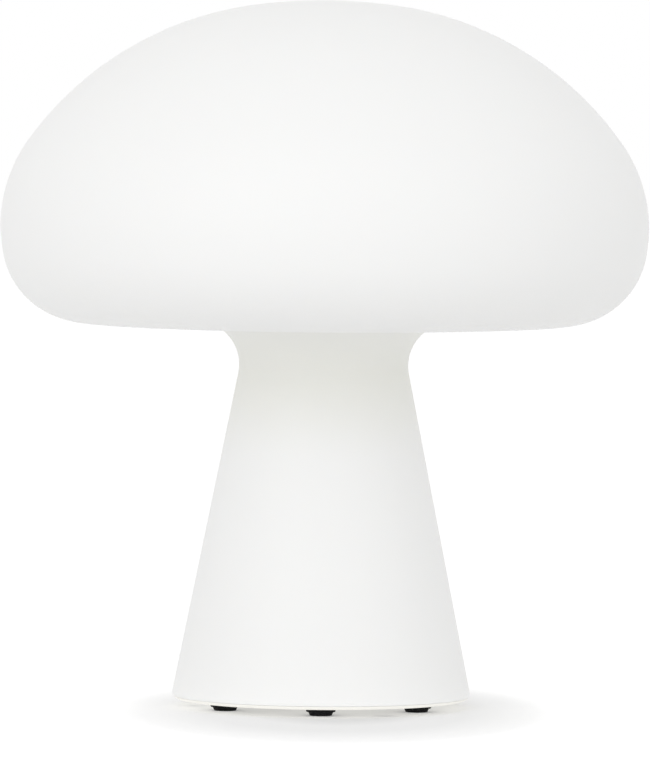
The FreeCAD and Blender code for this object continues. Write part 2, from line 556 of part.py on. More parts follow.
def make_shell():
    """One seamless wall for cap and stem: five tangent arcs and two straights outside, and their
    offset inside, with shared centres, so that the wall stays even."""
    body = new_body("lamp_shell")
    sketch = new_sketch(body, "profile", "XZ_Plane")
    wall = number("shell_wall")
    rise, taper = number("underside_rise"), number("stem_taper")
    bends = ("shoulder_angle", "side_angle", "rim_angle")
    angles = [90.0, *(number(alias) for alias in bends), -90 - rise]
    centres = [(0.0, number("crown_level"))]
    centres += [(number(f"{arc}_across"), number(f"{arc}_level")) for arc in ("shoulder", "side", "rim")]
    radii = [number(f"{arc}_radius") for arc in ("crown", "shoulder", "side", "rim")]
    neck = (number("neck_across"), number("neck_level"))
    edge = (number("edge_across"), number("edge_level"))

    def point(centre, radius, angle):
        turned = math.radians(angle)
        return FreeCAD.Vector(centre[0] + radius * math.cos(turned), centre[1] + radius * math.sin(turned), 0)

    def line(first, last):
        return sketch.addGeometry(Part.LineSegment(first, last), False)

    def tie(kind, *place):
        sketch.addConstraint(Sketcher.Constraint(kind, *place))

    skins = []
    for inset in (0.0, wall):
        cap = [
            concentric_arc(sketch, centre, radius - inset, low, high)
            for centre, radius, high, low in zip(centres, radii, angles, angles[1:])
        ]
        neck_round = number("neck_fillet") + inset
        under = line(point(centres[3], radii[3] - inset, angles[4]), point(neck, neck_round, 90 - rise))
        hollow = concentric_arc(sketch, neck, neck_round, 90 - rise, 180 + taper)
        stem_top = point(neck, neck_round, 180 + taper)
        if inset:
            foot_level = number("seam_level")
        else:
            foot_level = point(edge, number("edge_round"), taper).y
        spread = (stem_top.y - foot_level) * number("stem_slope")
        stem_foot = FreeCAD.Vector(stem_top.x + spread, foot_level, 0)
        stem = line(stem_top, stem_foot)
        for upper, lower in zip(cap, cap[1:]):
            tie("Tangent", upper, START, lower, END)
        tie("Tangent", cap[3], START, under, START)
        tie("Tangent", under, END, hollow, START)
        tie("Tangent", hollow, END, stem, START)
        skins.append((cap, under, hollow, stem))

    (cap, under, hollow, stem), (inner_cap, _, inner_hollow, inner_stem) = skins
    seam_drop = number("edge_level") - number("seam_level")
    seam_angle = -math.degrees(math.asin(seam_drop / number("edge_round")))
    edge_arc = concentric_arc(sketch, edge, number("edge_round"), seam_angle, taper)
    tie("Tangent", stem, END, edge_arc, END)
    seam = line(point(edge, number("edge_round"), seam_angle), stem_foot)
    tie("Coincident", edge_arc, START, seam, START)
    tie("Coincident", seam, END, inner_stem, END)
    tie("Horizontal", seam)
    axis = line(point(centres[0], radii[0] - wall, 90), point(centres[0], radii[0], 90))
    tie("Coincident", axis, START, inner_cap[0], END)
    tie("Coincident", axis, END, cap[0], END)

    tie("PointOnObject", cap[0], CENTRE, V_AXIS)
    tie("PointOnObject", cap[0], END, V_AXIS)
    tie("PointOnObject", inner_cap[0], END, V_AXIS)
    fix(sketch, "DistanceY", ORIGIN, 1, cap[0], END, size="lamp_height")
    for arc, name in zip(cap, ("crown", "shoulder", "side", "rim")):
        fix(sketch, "Radius", arc, size=f"{name}_radius")
    for arc, name in zip(cap, ("crown", "shoulder", "side")):
        fix(sketch, "Angle", arc, size=f"{name}_sweep")
    fix(sketch, "Angle", cap[3], size="rim_angle + 90 + underside_rise")
    fix(sketch, "Radius", hollow, size="neck_fillet")
    fix(sketch, "DistanceX", ORIGIN, 1, hollow, CENTRE, size="neck_across")
    fix(sketch, "Angle", hollow, size="90 + stem_taper + underside_rise")
    fix(sketch, "Radius", edge_arc, size="edge_round")
    fix(sketch, "DistanceY", ORIGIN, 1, edge_arc, CENTRE, size="edge_level")
    fix(sketch, "DistanceY", ORIGIN, 1, edge_arc, START, size="seam_level")
    for outer, inner in zip([*cap, hollow], [*inner_cap, inner_hollow]):
        tie("Coincident", outer, CENTRE, inner, CENTRE)
    fix(sketch, "Radius", inner_cap[0], size="crown_radius - shell_wall")
    fix(sketch, "Radius", inner_hollow, size="neck_fillet + shell_wall")
    tie("Parallel", stem, inner_stem)
    made = feature(body, "Revolution", "wall", sketch)
    made.ReferenceAxis = (sketch, ["V_Axis"])
    made.Angle = 360
    finished(body, made, False)
    pocket(
        body,
        "port_hole",
        long_round("0", "socket_level", "sleeve_wide + 2 * port_gap", "sleeve_tall + 2 * port_gap"),
        "collar_foot_across",
        "XZ_Plane",
        "-1 * collar_bore",
    )


def make_cover():
    """The bottom plate. Its lip shows below the seam, and its posts carry everything inside."""
    body = new_body("base_cover")
    turn(body, "plate", [
        ("button_way", "foot_height"),
        ("edge_across", "foot_height"),
        ("lip_across", "seam_level - seam_groove", "edge_round", 1),
        ("seam_across - seam_depth", "seam_level - seam_groove"),
        ("seam_across - seam_depth", "seam_level"),
        ("spigot_across", "seam_level"),
        ("spigot_across", "spigot_top"),
        ("collar_bore", "spigot_top"),
        ("collar_bore", "cover_top"),
        ("guide_out", "cover_top"),
        ("guide_out", "cover_top + guide_height"),
        ("guide_bore", "cover_top + guide_height"),
        ("guide_bore", "cover_top"),
        ("button_way", "cover_top"),
    ])
    root = "cover_top - plate_thick / 2"
    rib_start = "guide_out - guide_wall / 2"
    rib = pad(body, "rib", outline_of([
        (rib_start, root),
        ("column_post_circle", root),
        ("column_post_circle", "cover_top + rib_height"),
        (f"{rib_start} + rib_height - guide_height", "cover_top + rib_height"),
        (rib_start, "cover_top + guide_height"),
    ]), "rib_thick", "XZ_Plane", both_ways=True)
    around(body, "ribs", "2 * post_count", rib)
    tall = ("column_post_circle", "column_post_angle")
    short = ("board_post_circle", "board_post_angle")
    screws = ("cover_screw_circle", "cover_screw_angle")
    feet = ("foot_circle", "foot_angle")
    for name, place, width, top in (
        ("tall_post", tall, "column_post", "post_top"),
        ("short_post", short, "board_post", "board_foot"),
    ):
        ring_of(body, name, "Pad", *place, width, f"{top} - ({root})", "post_count", root)
    for name, place, width, depth, top in (
        ("tall_pilot", tall, "screw_pilot", "screw_grip + pilot_room", "post_top"),
        ("short_pilot", short, "small_pilot", "small_grip + pilot_room", "board_foot"),
    ):
        ring_of(body, name, "Pocket", *place, width, depth, "post_count", top)
    for name, place, width, depth, count in (
        ("screw_way", screws, "screw_way", "spigot_top", "cover_screw_count"),
        ("screw_sink", screws, "screw_head + 2 * screw_gap", "screw_bearing", "cover_screw_count"),
        ("foot_recess", feet, "foot_flange + 2 * foot_gap", "foot_seat", "foot_count"),
        ("foot_way", feet, "foot_stalk + 2 * foot_gap", "cover_top", "foot_count"),
    ):
        ring_of(body, name, "Pocket", *place, width, depth, count, away=True)


def make_collar():
    """The ring bonded into the stem, which takes the cover's screws. A window lets the port through."""
    body = new_body("base_collar")
    turn(body, "ring", [
        ("collar_bore", "collar_foot"),
        ("collar_foot_across", "collar_foot"),
        ("collar_top_across", "collar_top"),
        ("collar_bore", "collar_top"),
    ])
    ring_of(body, "pilot", "Pocket", "cover_screw_circle", "cover_screw_angle", "screw_pilot",
            "screw_grip + pilot_room", "cover_screw_count", "collar_foot", away=True)
    half = "(sleeve_wide / 2 + port_flange + window_gap)"
    low = "socket_level - sleeve_tall / 2 - port_flange - window_gap"
    high = f"{low} + collar_height"
    window = outline_of([(f"-1 * {half}", low), (half, low), (half, high), (f"-1 * {half}", high)])
    pocket(body, "port_window", window, "collar_foot_across", "XZ_Plane", "-1 * board_post_circle")


def make_seal():
    """The flat ring squeezed between cover and collar."""
    outer = "spigot_across - seal_inset"
    turn(new_body("base_seal"), "ring", [
        (f"{outer} - seal_width", "spigot_top"),
        (outer, "spigot_top"),
        (outer, "collar_foot"),
        (f"{outer} - seal_width", "collar_foot"),
    ])


def place(body, across, up):
    """Stand a piece that is turned round its own axis at a place on the plan."""
    body.Placement = FreeCAD.Placement(FreeCAD.Vector(number(across), number(up), 0), FreeCAD.Rotation())
    body.setExpression("Placement.Base.x", bound(across))
    body.setExpression("Placement.Base.y", bound(up))


def make_feet():
    """Stepped rubber feet, each pulled through the cover by its barbed stalk."""
    for index in range(round(number("foot_count"))):
        body = new_body(f"rubber_foot_{index + 1}")
        turn(body, "turned", [
            ("0", "0"),
            ("foot_tread / 2 - foot_round", "0"),
            ("foot_tread / 2", "foot_round", "foot_round", 1),
            ("foot_shoulder / 2", "foot_step"),
            ("foot_flange / 2 - foot_round", "foot_step"),
            ("foot_flange / 2", "foot_step + foot_round", "foot_round", 1),
            ("foot_flange / 2", "foot_seat"),
            ("foot_stalk / 2", "foot_seat"),
            ("foot_stalk / 2", "cover_top + foot_gap"),
            ("foot_barb / 2", "cover_top + foot_gap"),
            ("foot_barb / 2", "cover_top + foot_gap + barb_rim"),
            ("foot_stalk / 2 - barb_rim", "cover_top + barb_tall"),
            ("0", "cover_top + barb_tall"),
        ])
        angle = f"foot_angle + {index} * 360 / foot_count"
        place(body, f"foot_circle * cos({angle})", f"foot_circle * sin({angle})")


def make_button():
    """The push button under the base, with its finger dish, and the switch that it works."""
    turn(new_body("power_button"), "turned", [
        ("0", "button_face + button_dish"),
        ("button_dish_width / 2", "button_face",
         "((button_dish_width / 2) ^ 2 + button_dish ^ 2) / (2 * button_dish)", -1),
        ("button_width / 2 - button_round", "button_face"),
        ("button_width / 2", "button_face + button_round", "button_round", 1),
        ("button_width / 2", "button_flange_foot"),
        ("button_flange / 2", "button_flange_foot"),
        ("button_flange / 2", "button_flange_foot + button_flange_thick"),
        ("button_stem / 2", "button_flange_foot + button_flange_thick"),
        ("button_stem / 2", "plunger_foot - touch_gap"),
        ("0", "plunger_foot - touch_gap"),
    ])
    turn(new_body("switch_plunger"), "turned", [
        ("0", "plunger_foot"),
        ("plunger_width / 2 - plunger_round", "plunger_foot"),
        ("plunger_width / 2", "plunger_foot + plunger_round", "plunger_round", 1),
        ("plunger_width / 2", "switch_foot + plunger_in"),
        ("0", "switch_foot + plunger_in"),
    ])
    body = new_body("push_switch")
    pad(body, "case", box_at("0", "0", "switch_width", "switch_width"), "switch_tall", lift="switch_foot")
    bore = disc("plunger_width + 2 * plunger_gap")
    pocket(body, "bore", bore, "plunger_in + plunger_room", lift="switch_foot", away=True)


def make_board():
    """The control board and the larger pieces soldered to it."""
    body = new_body("control_board")
    pad(body, "plate", disc("2 * board_radius"), "board_thick", lift="board_foot")
    ring_of(body, "post_way", "Pocket", "column_post_circle", "column_post_angle",
            "column_post + 2 * post_gap", "board_thick", "post_count", "board_top")
    ring_of(body, "screw_way", "Pocket", "board_post_circle", "board_post_angle",
            "small_way", "board_thick", "post_count", "board_top")
    for name, *_ in BOARD_PIECES:
        body = new_body(name)
        angle, inset, wide, deep, tall = (f"{name}_{side}" for side in BOARD_PIECE_SIZES)
        across, up = (f"(board_radius - {inset}) * {turned}({angle})" for turned in ("cos", "sin"))
        case = pad(body, "case", box_at(across, up, wide, deep), tall, lift="board_top")
        if name == "chip_capacitors":
            around(body, "ring", "post_count", case)


def make_socket():
    """The charging socket: a folded metal shell round a tongue, soldered to the board's edge."""
    body = new_body("usb_socket_shell")
    outer = long_round("0", "socket_level", "socket_wide", "socket_tall")
    pad(body, "shell", outer, "socket_long", "XZ_Plane", "-1 * socket_back", down=True)
    inner = long_round("0", "socket_level", "socket_wide - 2 * socket_wall", "socket_tall - 2 * socket_wall")
    root = "-1 * (socket_back + socket_wall)"
    pocket(body, "mouth", inner, "socket_long - socket_wall", "XZ_Plane", root)
    body = new_body("usb_socket_tongue")
    block = box_at("0", "socket_level", "tongue_wide", "socket_tall - 3 * socket_wall")
    pad(body, "block", block, "tongue_block", "XZ_Plane", root, down=True)
    tongue = box_at("0", "socket_level", "tongue_wide", "tongue_thick")
    pad(body, "tongue", tongue, "socket_long - socket_wall - tongue_inset", "XZ_Plane", root, down=True)


def trim_to_stem(body, name, across, gap):
    """Cut away what lies outside a cone along the stem."""
    low, high, far = "seam_level", "collar_top + sleeve_tall", "stem_across + lamp_height / 4"
    turn(body, name, [
        (f"{across} + (stem_level - ({low})) * stem_slope - {gap}", low),
        (far, low),
        (far, high),
        (f"{across} + (stem_level - ({high})) * stem_slope - {gap}", high),
    ], "Groove")


def make_sleeve():
    """The soft tunnel from the shell's face to the charging socket, with a flange behind the wall."""
    body = new_body("port_sleeve")
    back = "-1 * sleeve_back"
    flange = long_round("0", "socket_level", "sleeve_wide + 2 * port_flange", "sleeve_tall + 2 * port_flange")
    pad(body, "flange", flange, "wall_across * 3", "XZ_Plane", back, down=True)
    trim_to_stem(body, "inside_trim", "stem_inner", "bond_gap")
    nose = long_round("0", "socket_level", "sleeve_wide", "sleeve_tall")
    pad(body, "nose", nose, "wall_across * 4", "XZ_Plane", back, down=True)
    trim_to_stem(body, "outside_trim", "stem_across", "port_inset")
    tunnel = long_round("0", "socket_level", "port_wide", "port_tall")
    pocket(body, "tunnel", tunnel, "wall_across * 4", "XZ_Plane", "-1 * (sleeve_back + port_back)")
    slot = long_round("0", "socket_level", "socket_wide + 2 * aperture_gap", "socket_tall + 2 * aperture_gap")
    pocket(body, "aperture", slot, "wall_across", "XZ_Plane", back)


def make_screws(label, circle, angle, count, seat, size, grip, side=1):
    """Pan-head screws on a circle. Their heads bear on the seat's level from above, or below with side -1."""
    head, head_tall, core = f"{size}_head", f"{size}_head_tall", f"{size}_core / 2"
    rim, top, tip = f"{circle} + {head} / 2", f"{seat} + {side} * {head_tall}", f"{seat} - {side} * ({grip})"
    body = new_body(label)
    sketch = new_sketch(body, "profile", "XZ_Plane")
    draw_outline(sketch, [
        (circle, top),
        (f"{rim} - head_round", top),
        (rim, f"{top} - {side} * head_round", "head_round", -side),
        (rim, seat),
        (f"{circle} + {core}", seat),
        (f"{circle} + {core}", f"{tip} + {side} * {core}"),
        (circle, tip),
    ])
    screw = feature(body, "Revolution", "turned", sketch)
    screw.ReferenceAxis = (sketch, ["Edge1"])
    screw.Angle = 360
    finished(body, screw, False)
    slots = [
        pocket(body, name, box_at(circle, "0", wide, tall), f"{head_tall} / 2", lift=top, away=side < 0)
        for name, wide, tall in (
            ("slot", "slot_wide", f"{head} * slot_share"),
            ("cross", f"{head} * slot_share", "slot_wide"),
        )
    ]
    around(body, "screws", count, screw, *slots)
    body.Placement = FreeCAD.Placement(FreeCAD.Vector(), FreeCAD.Rotation(UP, number(angle)))
    body.setExpression("Placement.Rotation.Angle", bound(angle))


def make_all_screws():
    make_screws("cover_screws", "cover_screw_circle", "cover_screw_angle", "cover_screw_count",
                "screw_bearing", "screw", "collar_foot - screw_bearing + screw_grip", -1)
    make_screws("column_screws", "column_post_circle", "column_post_angle", "post_count",
                "flange_top", "screw", "column_flange_thick + tray_thick + screw_grip")
    make_screws("board_screws", "board_post_circle", "board_post_angle", "post_count",
                "board_top", "small", "board_thick + small_grip")
    make_screws("light_board_screws", "light_screw_circle", "light_screw_angle", "post_count",
                "light_board_top", "small", "board_thick + sink_thick + light_grip")


def make_tray():
    """The plate under the battery, clamped between posts and column. Its spigot centres the column."""
    body = new_body("battery_tray")
    turn(body, "plate", [
        ("0", "post_top"),
        ("column_flange", "post_top"),
        ("column_flange", "tray_top"),
        ("column_bore - spigot_gap", "tray_top"),
        ("column_bore - spigot_gap", "tray_floor"),
        ("0", "tray_floor"),
    ])
    ring_of(body, "screw_way", "Pocket", "column_post_circle", "column_post_angle",
            "screw_way", "tray_thick", "post_count", "tray_top")
    for name, side in (("front_slot", -1), ("back_slot", 1)):
        slot = box_at("0", f"{side} * lead_reach", "lead_slot_wide", "lead_slot_deep")
        pocket(body, name, slot, "tray_thick + tray_spigot", lift="tray_floor")


def make_column():
    """The tapered tube round the battery, with windows and gussets, and with a ring for the light on top."""
    body = new_body("light_column")
    turn(body, "tube", [
        ("column_bore", "tray_top"),
        ("column_flange", "tray_top"),
        ("column_flange", "flange_top"),
        ("column_foot_out", "flange_top"),
        ("column_top_out", "column_top"),
        ("column_ring_bore", "column_top"),
        ("column_ring_bore", "column_ring_foot"),
        ("column_bore", "column_ring_foot"),
        ("column_bore", "web_top"),
        ("0", "web_top"),
        ("0", "web_foot"),
        ("column_bore", "web_foot"),
    ])
    inside, root = "column_foot_out - column_top_wall", "flange_top - column_flange_thick / 2"
    gusset = pad(body, "gusset", outline_of([
        (f"-1 * ({inside})", root),
        (f"-1 * ({inside})", "flange_top + gusset_reach + column_top_wall"),
        ("-1 * (column_foot_out + gusset_reach)", "flange_top"),
        ("-1 * (column_foot_out + gusset_reach)", root),
    ]), "gusset_thick", "XZ_Plane", both_ways=True)
    around(body, "gussets", "post_count", gusset)
    ring_of(body, "screw_way", "Pocket", "column_post_circle", "column_post_angle",
            "screw_way", "column_flange_thick", "post_count", "flange_top")
    middle, round_end = "(cell_foot + cell_top) / 2", "window_wide / 2 - corner_ease"
    corners = round_box_corners("0", middle, "window_wide", "cell_length - 2 * window_margin", round_end)
    window = pocket(body, "window", outline_of(corners), "column_flange", "XZ_Plane", "0")
    around(body, "windows", "window_count", window)
    slot = box_at("0", "-1 * lead_reach", "lead_slot_wide", "lead_slot_deep")
    pocket(body, "lead_slot", slot, "column_top - web_foot", lift="column_top")
    ring_of(body, "pilot", "Pocket", "light_screw_circle", "light_screw_angle",
            "small_pilot", "column_ring_thick", "post_count", "column_top")


def make_cells():
    """Two round cells side by side: can, groove under the rim, crimp and raised contact."""
    for name, side in (("battery_cell_left", -1), ("battery_cell_right", 1)):
        body = new_body(name)
        half, nub = "cell_width / 2", "cell_nub / 2"
        crimp_top = "cell_top - cell_nub_tall"
        turn(body, "can", [
            ("0", "cell_foot"),
            (f"{half} - cell_round", "cell_foot"),
            (half, "cell_foot + cell_round", "cell_round", 1),
            (half, "cell_top - cell_groove_drop - 2 * cell_round"),
            (f"{half} - cell_round", "cell_top - cell_groove_drop - cell_round"),
            (half, "cell_top - cell_groove_drop"),
            (half, crimp_top),
            (f"{half} - cell_crimp", crimp_top),
            (f"{half} - cell_crimp", f"{crimp_top} - cell_sink"),
            (nub, f"{crimp_top} - cell_sink"),
            (nub, "cell_top"),
            ("0", "cell_top"),
        ])
        place(body, f"{side} * cell_reach", "0")


def make_strips():
    """The nickel strips that join the cells, each with a tab for its lead, and the foam beyond them."""
    for name, foot in (("cell_strip_lower", "strip_lower_foot"), ("cell_strip_upper", "cell_top")):
        half = "strip_wide / 2"
        corners = [
            ("-1 * strip_half", f"-1 * {half}"),
            ("strip_half", f"-1 * {half}"),
            ("strip_half", half),
            (half, half),
            (half, "strip_tab"),
            (f"-1 * {half}", "strip_tab"),
            (f"-1 * {half}", half),
            ("-1 * strip_half", half),
        ]
        pad(new_body(name), "strip", outline_of(corners), "strip_thick", lift=foot)
    for name, foot, thick in (
        ("battery_pads_lower", "tray_floor", "pad_lower_thick"),
        ("battery_pads_upper", "strip_upper_top", "pad_upper_thick"),
    ):
        body = new_body(name)
        pad(body, "left_pad", disc("pad_width", "-1 * cell_reach"), thick, lift=foot)
        pad(body, "right_pad", disc("pad_width", "cell_reach"), thick, lift=foot)


def make_light():
    """Heat sink, light board, light chips and the frosted dome, at the top of the column."""
    body = new_body("heat_sink")
    turn(body, "disc", [
        ("0", "column_top - column_ring_thick / 2"),
        ("column_ring_bore - sink_gap", "column_top - column_ring_thick / 2"),
        ("column_ring_bore - sink_gap", "column_top"),
        ("sink_radius", "column_top"),
        ("sink_radius", "diffuser_foot"),
        ("sink_top_radius", "diffuser_foot"),
        ("sink_top_radius", "light_board_foot"),
        ("0", "light_board_foot"),
    ])
    slot = box_at("0", "-1 * lead_reach", "lead_slot_wide", "lead_slot_deep")
    deep = "sink_thick + column_ring_thick"
    pocket(body, "lead_slot", slot, deep, lift="light_board_foot")
    screws = ("light_screw_circle", "light_screw_angle", "small_way")
    ring_of(body, "screw_way", "Pocket", *screws, deep, "post_count", "light_board_foot")
    body = new_body("light_board")
    pad(body, "plate", disc("2 * light_board_radius"), "board_thick", lift="light_board_foot")
    ring_of(body, "screw_way", "Pocket", *screws, "board_thick", "post_count", "light_board_top")
    solder = new_body("light_solder")
    for name, side in (("left", -1), ("right", 1)):
        centre = (f"{side} * lead_spacing / 2", "-1 * lead_reach")
        way, bore = disc("lead_width + 2 * lead_gap", *centre), disc("lead_width + 2 * lead_lift", *centre)
        pocket(body, f"{name}_lead_way", way, "board_thick", lift="light_board_top")
        pad(solder, f"{name}_ring", disc("solder_width", *centre), "solder_tall", lift="light_board_top")
        pocket(solder, f"{name}_bore", bore, "lead_end", lift="light_board_top + lead_end")
    for ring_name, count in (("outer", "chip_outer_count"), ("inner", "chip_inner_count")):
        body = new_body(f"light_chips_{ring_name}")
        chip = box_at(f"chip_{ring_name}_circle", "0", "chip_wide", "chip_long")
        around(body, "chips", count, pad(body, "chip", chip, "chip_tall", lift="light_board_top"))
    turn(new_body("light_diffuser"), "dome", [
        ("diffuser_inner", "diffuser_foot"),
        ("sink_radius", "diffuser_foot"),
        ("sink_radius", "diffuser_shoulder"),
        ("0", "diffuser_shoulder + dome_rise", "diffuser_crown", 1),
        ("0", "crown_inner_level"),
        ("diffuser_inner", "diffuser_shoulder", "crown_inner", -1),
    ])


def make_connectors():
    """A board socket with its plug for the light in front, and for the battery behind."""
    cavity_wide = "plug_socket_wide - 2 * plug_socket_wall"
    for name, side in (("light", -1), ("battery", 1)):
        body = new_body(f"{name}_socket")
        middle = f"{side} * (plug_mouth + plug_socket_long / 2)"
        case = box_at("0", middle, "plug_socket_wide", "plug_socket_long")
        pad(body, "case", case, "plug_socket_tall", lift="board_top")
        cavity = box_at("0", f"{side} * (plug_mouth + plug_depth / 2)", cavity_wide, "plug_depth")
        pocket(body, "cavity", cavity, "plug_socket_tall - 2 * plug_socket_wall",
               lift="board_top + plug_socket_tall - plug_socket_wall")
        middle = f"{side} * (plug_end + plug_long / 2)"
        plug = box_at("0", middle, f"{cavity_wide} - 2 * plug_gap", "plug_long")
        pad(new_body(f"{name}_plug"), "block", plug, "plug_socket_tall - 2 * plug_socket_wall - 2 * plug_gap",
            lift="board_top + plug_socket_wall + plug_gap")


def make_lead(label, points):
    """An insulated lead: straight runs joined by tangent arcs, swept with its round section."""
    bend, radius = number("lead_bend"), number("lead_width") / 2
    places = [FreeCAD.Vector(*(number(size) for size in point)) for point in points]
    edges = []
    start = places[0]
    for before, corner, after in zip(places, places[1:], places[2:]):
        inward, outward = (before - corner).normalize(), (after - corner).normalize()
        half_turn = (math.pi - inward.getAngle(outward)) / 2
        setback = bend * math.tan(half_turn)
        first, last = corner + inward * setback, corner + outward * setback
        apex = corner + (inward + outward).normalize() * (bend / math.cos(half_turn) - bend)
        edges += [Part.LineSegment(start, first).toShape(), Part.Arc(first, apex, last).toShape()]
        start = last
    edges.append(Part.LineSegment(start, places[-1]).toShape())
    path = Part.Wire(edges)
    section = Part.Wire([Part.makeCircle(radius, places[0], places[1] - places[0])])
    lead = DOC.addObject("Part::Feature", label)
    lead.Label = label
    lead.Shape = path.makePipeShell([section], True, False)
    PARTS.append(lead)
    filled = lead.Shape.Volume / (math.pi * radius**2 * path.Length)
    print(f"{label}: {path.Length:.0f} mm long, bends of {bend} mm, {filled:.4f} of section times length")


def make_leads():
    """From the plug in front up to the light, and from the battery's strips down to the plug behind."""
    for colour, side in (("red", 1), ("black", -1)):
        across = f"{side} * lead_spacing / 2"
        make_lead(f"light_lead_{colour}", [
            (across, "-1 * plug_end", "lead_level"),
            (across, "-1 * lead_reach", "lead_level"),
            (across, "-1 * lead_reach", "light_board_top + lead_end"),
        ])
        strip = "strip_upper_top" if colour == "red" else "cell_foot"
        level = f"{strip} + lead_width / 2 + lead_lift"
        make_lead(f"battery_lead_{colour}", [
            (across, "lead_reach - lead_bend - lead_overlap", level),
            (across, "lead_reach", level),
            (across, "lead_reach", "lead_level"),
            (across, "plug_end", "lead_level"),
        ])


def write_parts():
    """Check every object, then write one file for each piece."""
    DOC.recompute()
    for item in DOC.Objects:
        if {"Invalid", "Error"} & set(item.State):
            raise ValueError(f"{item.Name} failed: {item.State}")
    for piece in PARTS:
        if piece.Shape.isNull() or not piece.Shape.isValid() or not piece.Shape.Solids:
            raise ValueError(f"{piece.Label} has no valid solid")
    os.makedirs("parts", exist_ok=True)
    for piece in PARTS:
        piece.Shape.exportStep(f"parts/{piece.Label}.step")
    print(len(PARTS), "pieces written")


make_shell()
make_cover()
make_collar()
make_seal()
make_feet()
make_button()
make_board()
make_socket()
make_sleeve()
make_tray()
make_column()
make_cells()
make_strips()
make_light()
make_all_screws()
make_connectors()
make_leads()
write_parts()
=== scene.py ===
# %% [markdown]
# # A mushroom table lamp
# The lamp is a one-piece shell of opal plastic, blown like a bottle, over a base cover with six rubber
# feet. It is cordless, so the battery, the boards and the light stand on that cover inside the shell.
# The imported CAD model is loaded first. It fixes where every piece is, in metres, with +Z up and the
# origin on the table under the lamp's axis.

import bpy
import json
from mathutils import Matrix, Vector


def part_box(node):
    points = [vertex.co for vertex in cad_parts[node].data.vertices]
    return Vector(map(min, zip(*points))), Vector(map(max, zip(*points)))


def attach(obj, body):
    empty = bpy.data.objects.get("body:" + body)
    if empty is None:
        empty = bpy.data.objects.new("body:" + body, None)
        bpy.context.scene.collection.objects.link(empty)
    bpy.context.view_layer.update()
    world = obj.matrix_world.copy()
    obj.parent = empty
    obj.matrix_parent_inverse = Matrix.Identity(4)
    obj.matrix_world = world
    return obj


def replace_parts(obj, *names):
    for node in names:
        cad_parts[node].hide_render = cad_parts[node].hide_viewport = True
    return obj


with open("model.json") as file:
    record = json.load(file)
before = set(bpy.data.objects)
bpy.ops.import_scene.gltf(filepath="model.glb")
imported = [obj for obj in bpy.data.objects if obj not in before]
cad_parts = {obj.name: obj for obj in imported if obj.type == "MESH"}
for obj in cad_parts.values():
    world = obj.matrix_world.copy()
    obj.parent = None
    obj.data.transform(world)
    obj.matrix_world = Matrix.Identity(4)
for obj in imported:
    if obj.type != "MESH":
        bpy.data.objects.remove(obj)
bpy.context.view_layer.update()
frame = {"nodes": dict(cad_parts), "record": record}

# %% [markdown]
# ## The lamp's outline
# A blow-moulded shell has no flat spots or kinks: its outline is a chain of arcs that touch each other,
# each one turning the way on by some degrees. So the outline is walked: start at the top of the cap,
# heading outwards, and turn through each arc in its own radius. An even wall is the same walk, begun one
# wall further in, where the arcs that bend the other way get larger instead of smaller.

# %% Walk along arcs and straights
import json
import math

import bmesh
import bpy
from mathutils import Matrix, Vector

MM = 0.001
WHOLE_TURN, QUARTER_TURN = 2 * math.pi, math.pi / 2
FINE_STEP, COARSE_STEP = 1.2 * MM, 4 * MM


def walk(place, heading, runs, inset=0.0, step=FINE_STEP):
    """Points (across, up) along tangent runs. A run is ("arc", radius, degrees), where degrees to the right
    are negative, or ("line", length). The inset moves the whole way to the right of its heading."""
    turned = math.radians(heading)
    x, z = place[0] + inset * math.sin(turned), place[1] - inset * math.cos(turned)
    points = [(x, z)]
    for kind, size, *degrees in runs:
        if kind == "line":
            x, z = x + size * math.cos(turned), z + size * math.sin(turned)
            points.append((x, z))
            continue
        sweep = math.radians(degrees[0])
        side = math.copysign(1, sweep)
        reach = side * (size + side * inset)
        centre_x, centre_z = x - reach * math.sin(turned), z + reach * math.cos(turned)
        count = max(2, round(abs(sweep * reach) / step))
        for index in range(1, count + 1):
            angle = turned + sweep * index / count
            points.append((centre_x + reach * math.sin(angle), centre_z - reach * math.cos(angle)))
        (x, z), turned = points[-1], turned + sweep
    return points


quarter = walk((0, 0), 0, [("arc", 10 * MM, 90)])
print("a left quarter turn of 10 mm ends at", [round(value / MM, 3) for value in quarter[-1]], "mm")

# %% [markdown]
# ## Sizes, and where the arcs meet
# The shell's driving sizes repeat those of the CAD model, and the rest is worked out from them. The rim
# turns by whatever is left until the underside's direction is reached. The stem is the straight line that
# touches the hollow arc under the cap and the small round at the bottom edge. The centres of two arcs that
# bend opposite ways lie the sum of their radii apart, measured square to the line between them, and that
# gives the stem's lean and length. The groove over the base cover is 0.25 mm high in the CAD model. It is
# drawn 0.06 mm high here, because in the photo it is hardly a line.

# %% The shell's own sizes
LAMP_HEIGHT = 246.5 * MM
CROWN, CROWN_TURN = 179.6 * MM, 8.3
SHOULDER, SHOULDER_TURN = 115.6 * MM, 46.2
SIDE, SIDE_TURN = 51.55 * MM, 46.5
RIM = 29.2 * MM
UNDERSIDE_RISE = 0.72
NECK, NECK_FILLET = 29.5 * MM, 15.0 * MM
BASE, EDGE_ROUND = 51.95 * MM, 2.5 * MM
FOOT_HEIGHT, LIP, GROOVE = 2.75 * MM, 1.5 * MM, 0.25 * MM
SHOWN_GROOVE = 0.06 * MM
SEAM = FOOT_HEIGHT + LIP - GROOVE + SHOWN_GROOVE
WALL = 3.0 * MM
RIM_TURN = 180 + UNDERSIDE_RISE - CROWN_TURN - SHOULDER_TURN - SIDE_TURN
print("the rim turns by", round(RIM_TURN, 2), "degrees, and the shell ends", round(SEAM / MM, 2), "mm up")

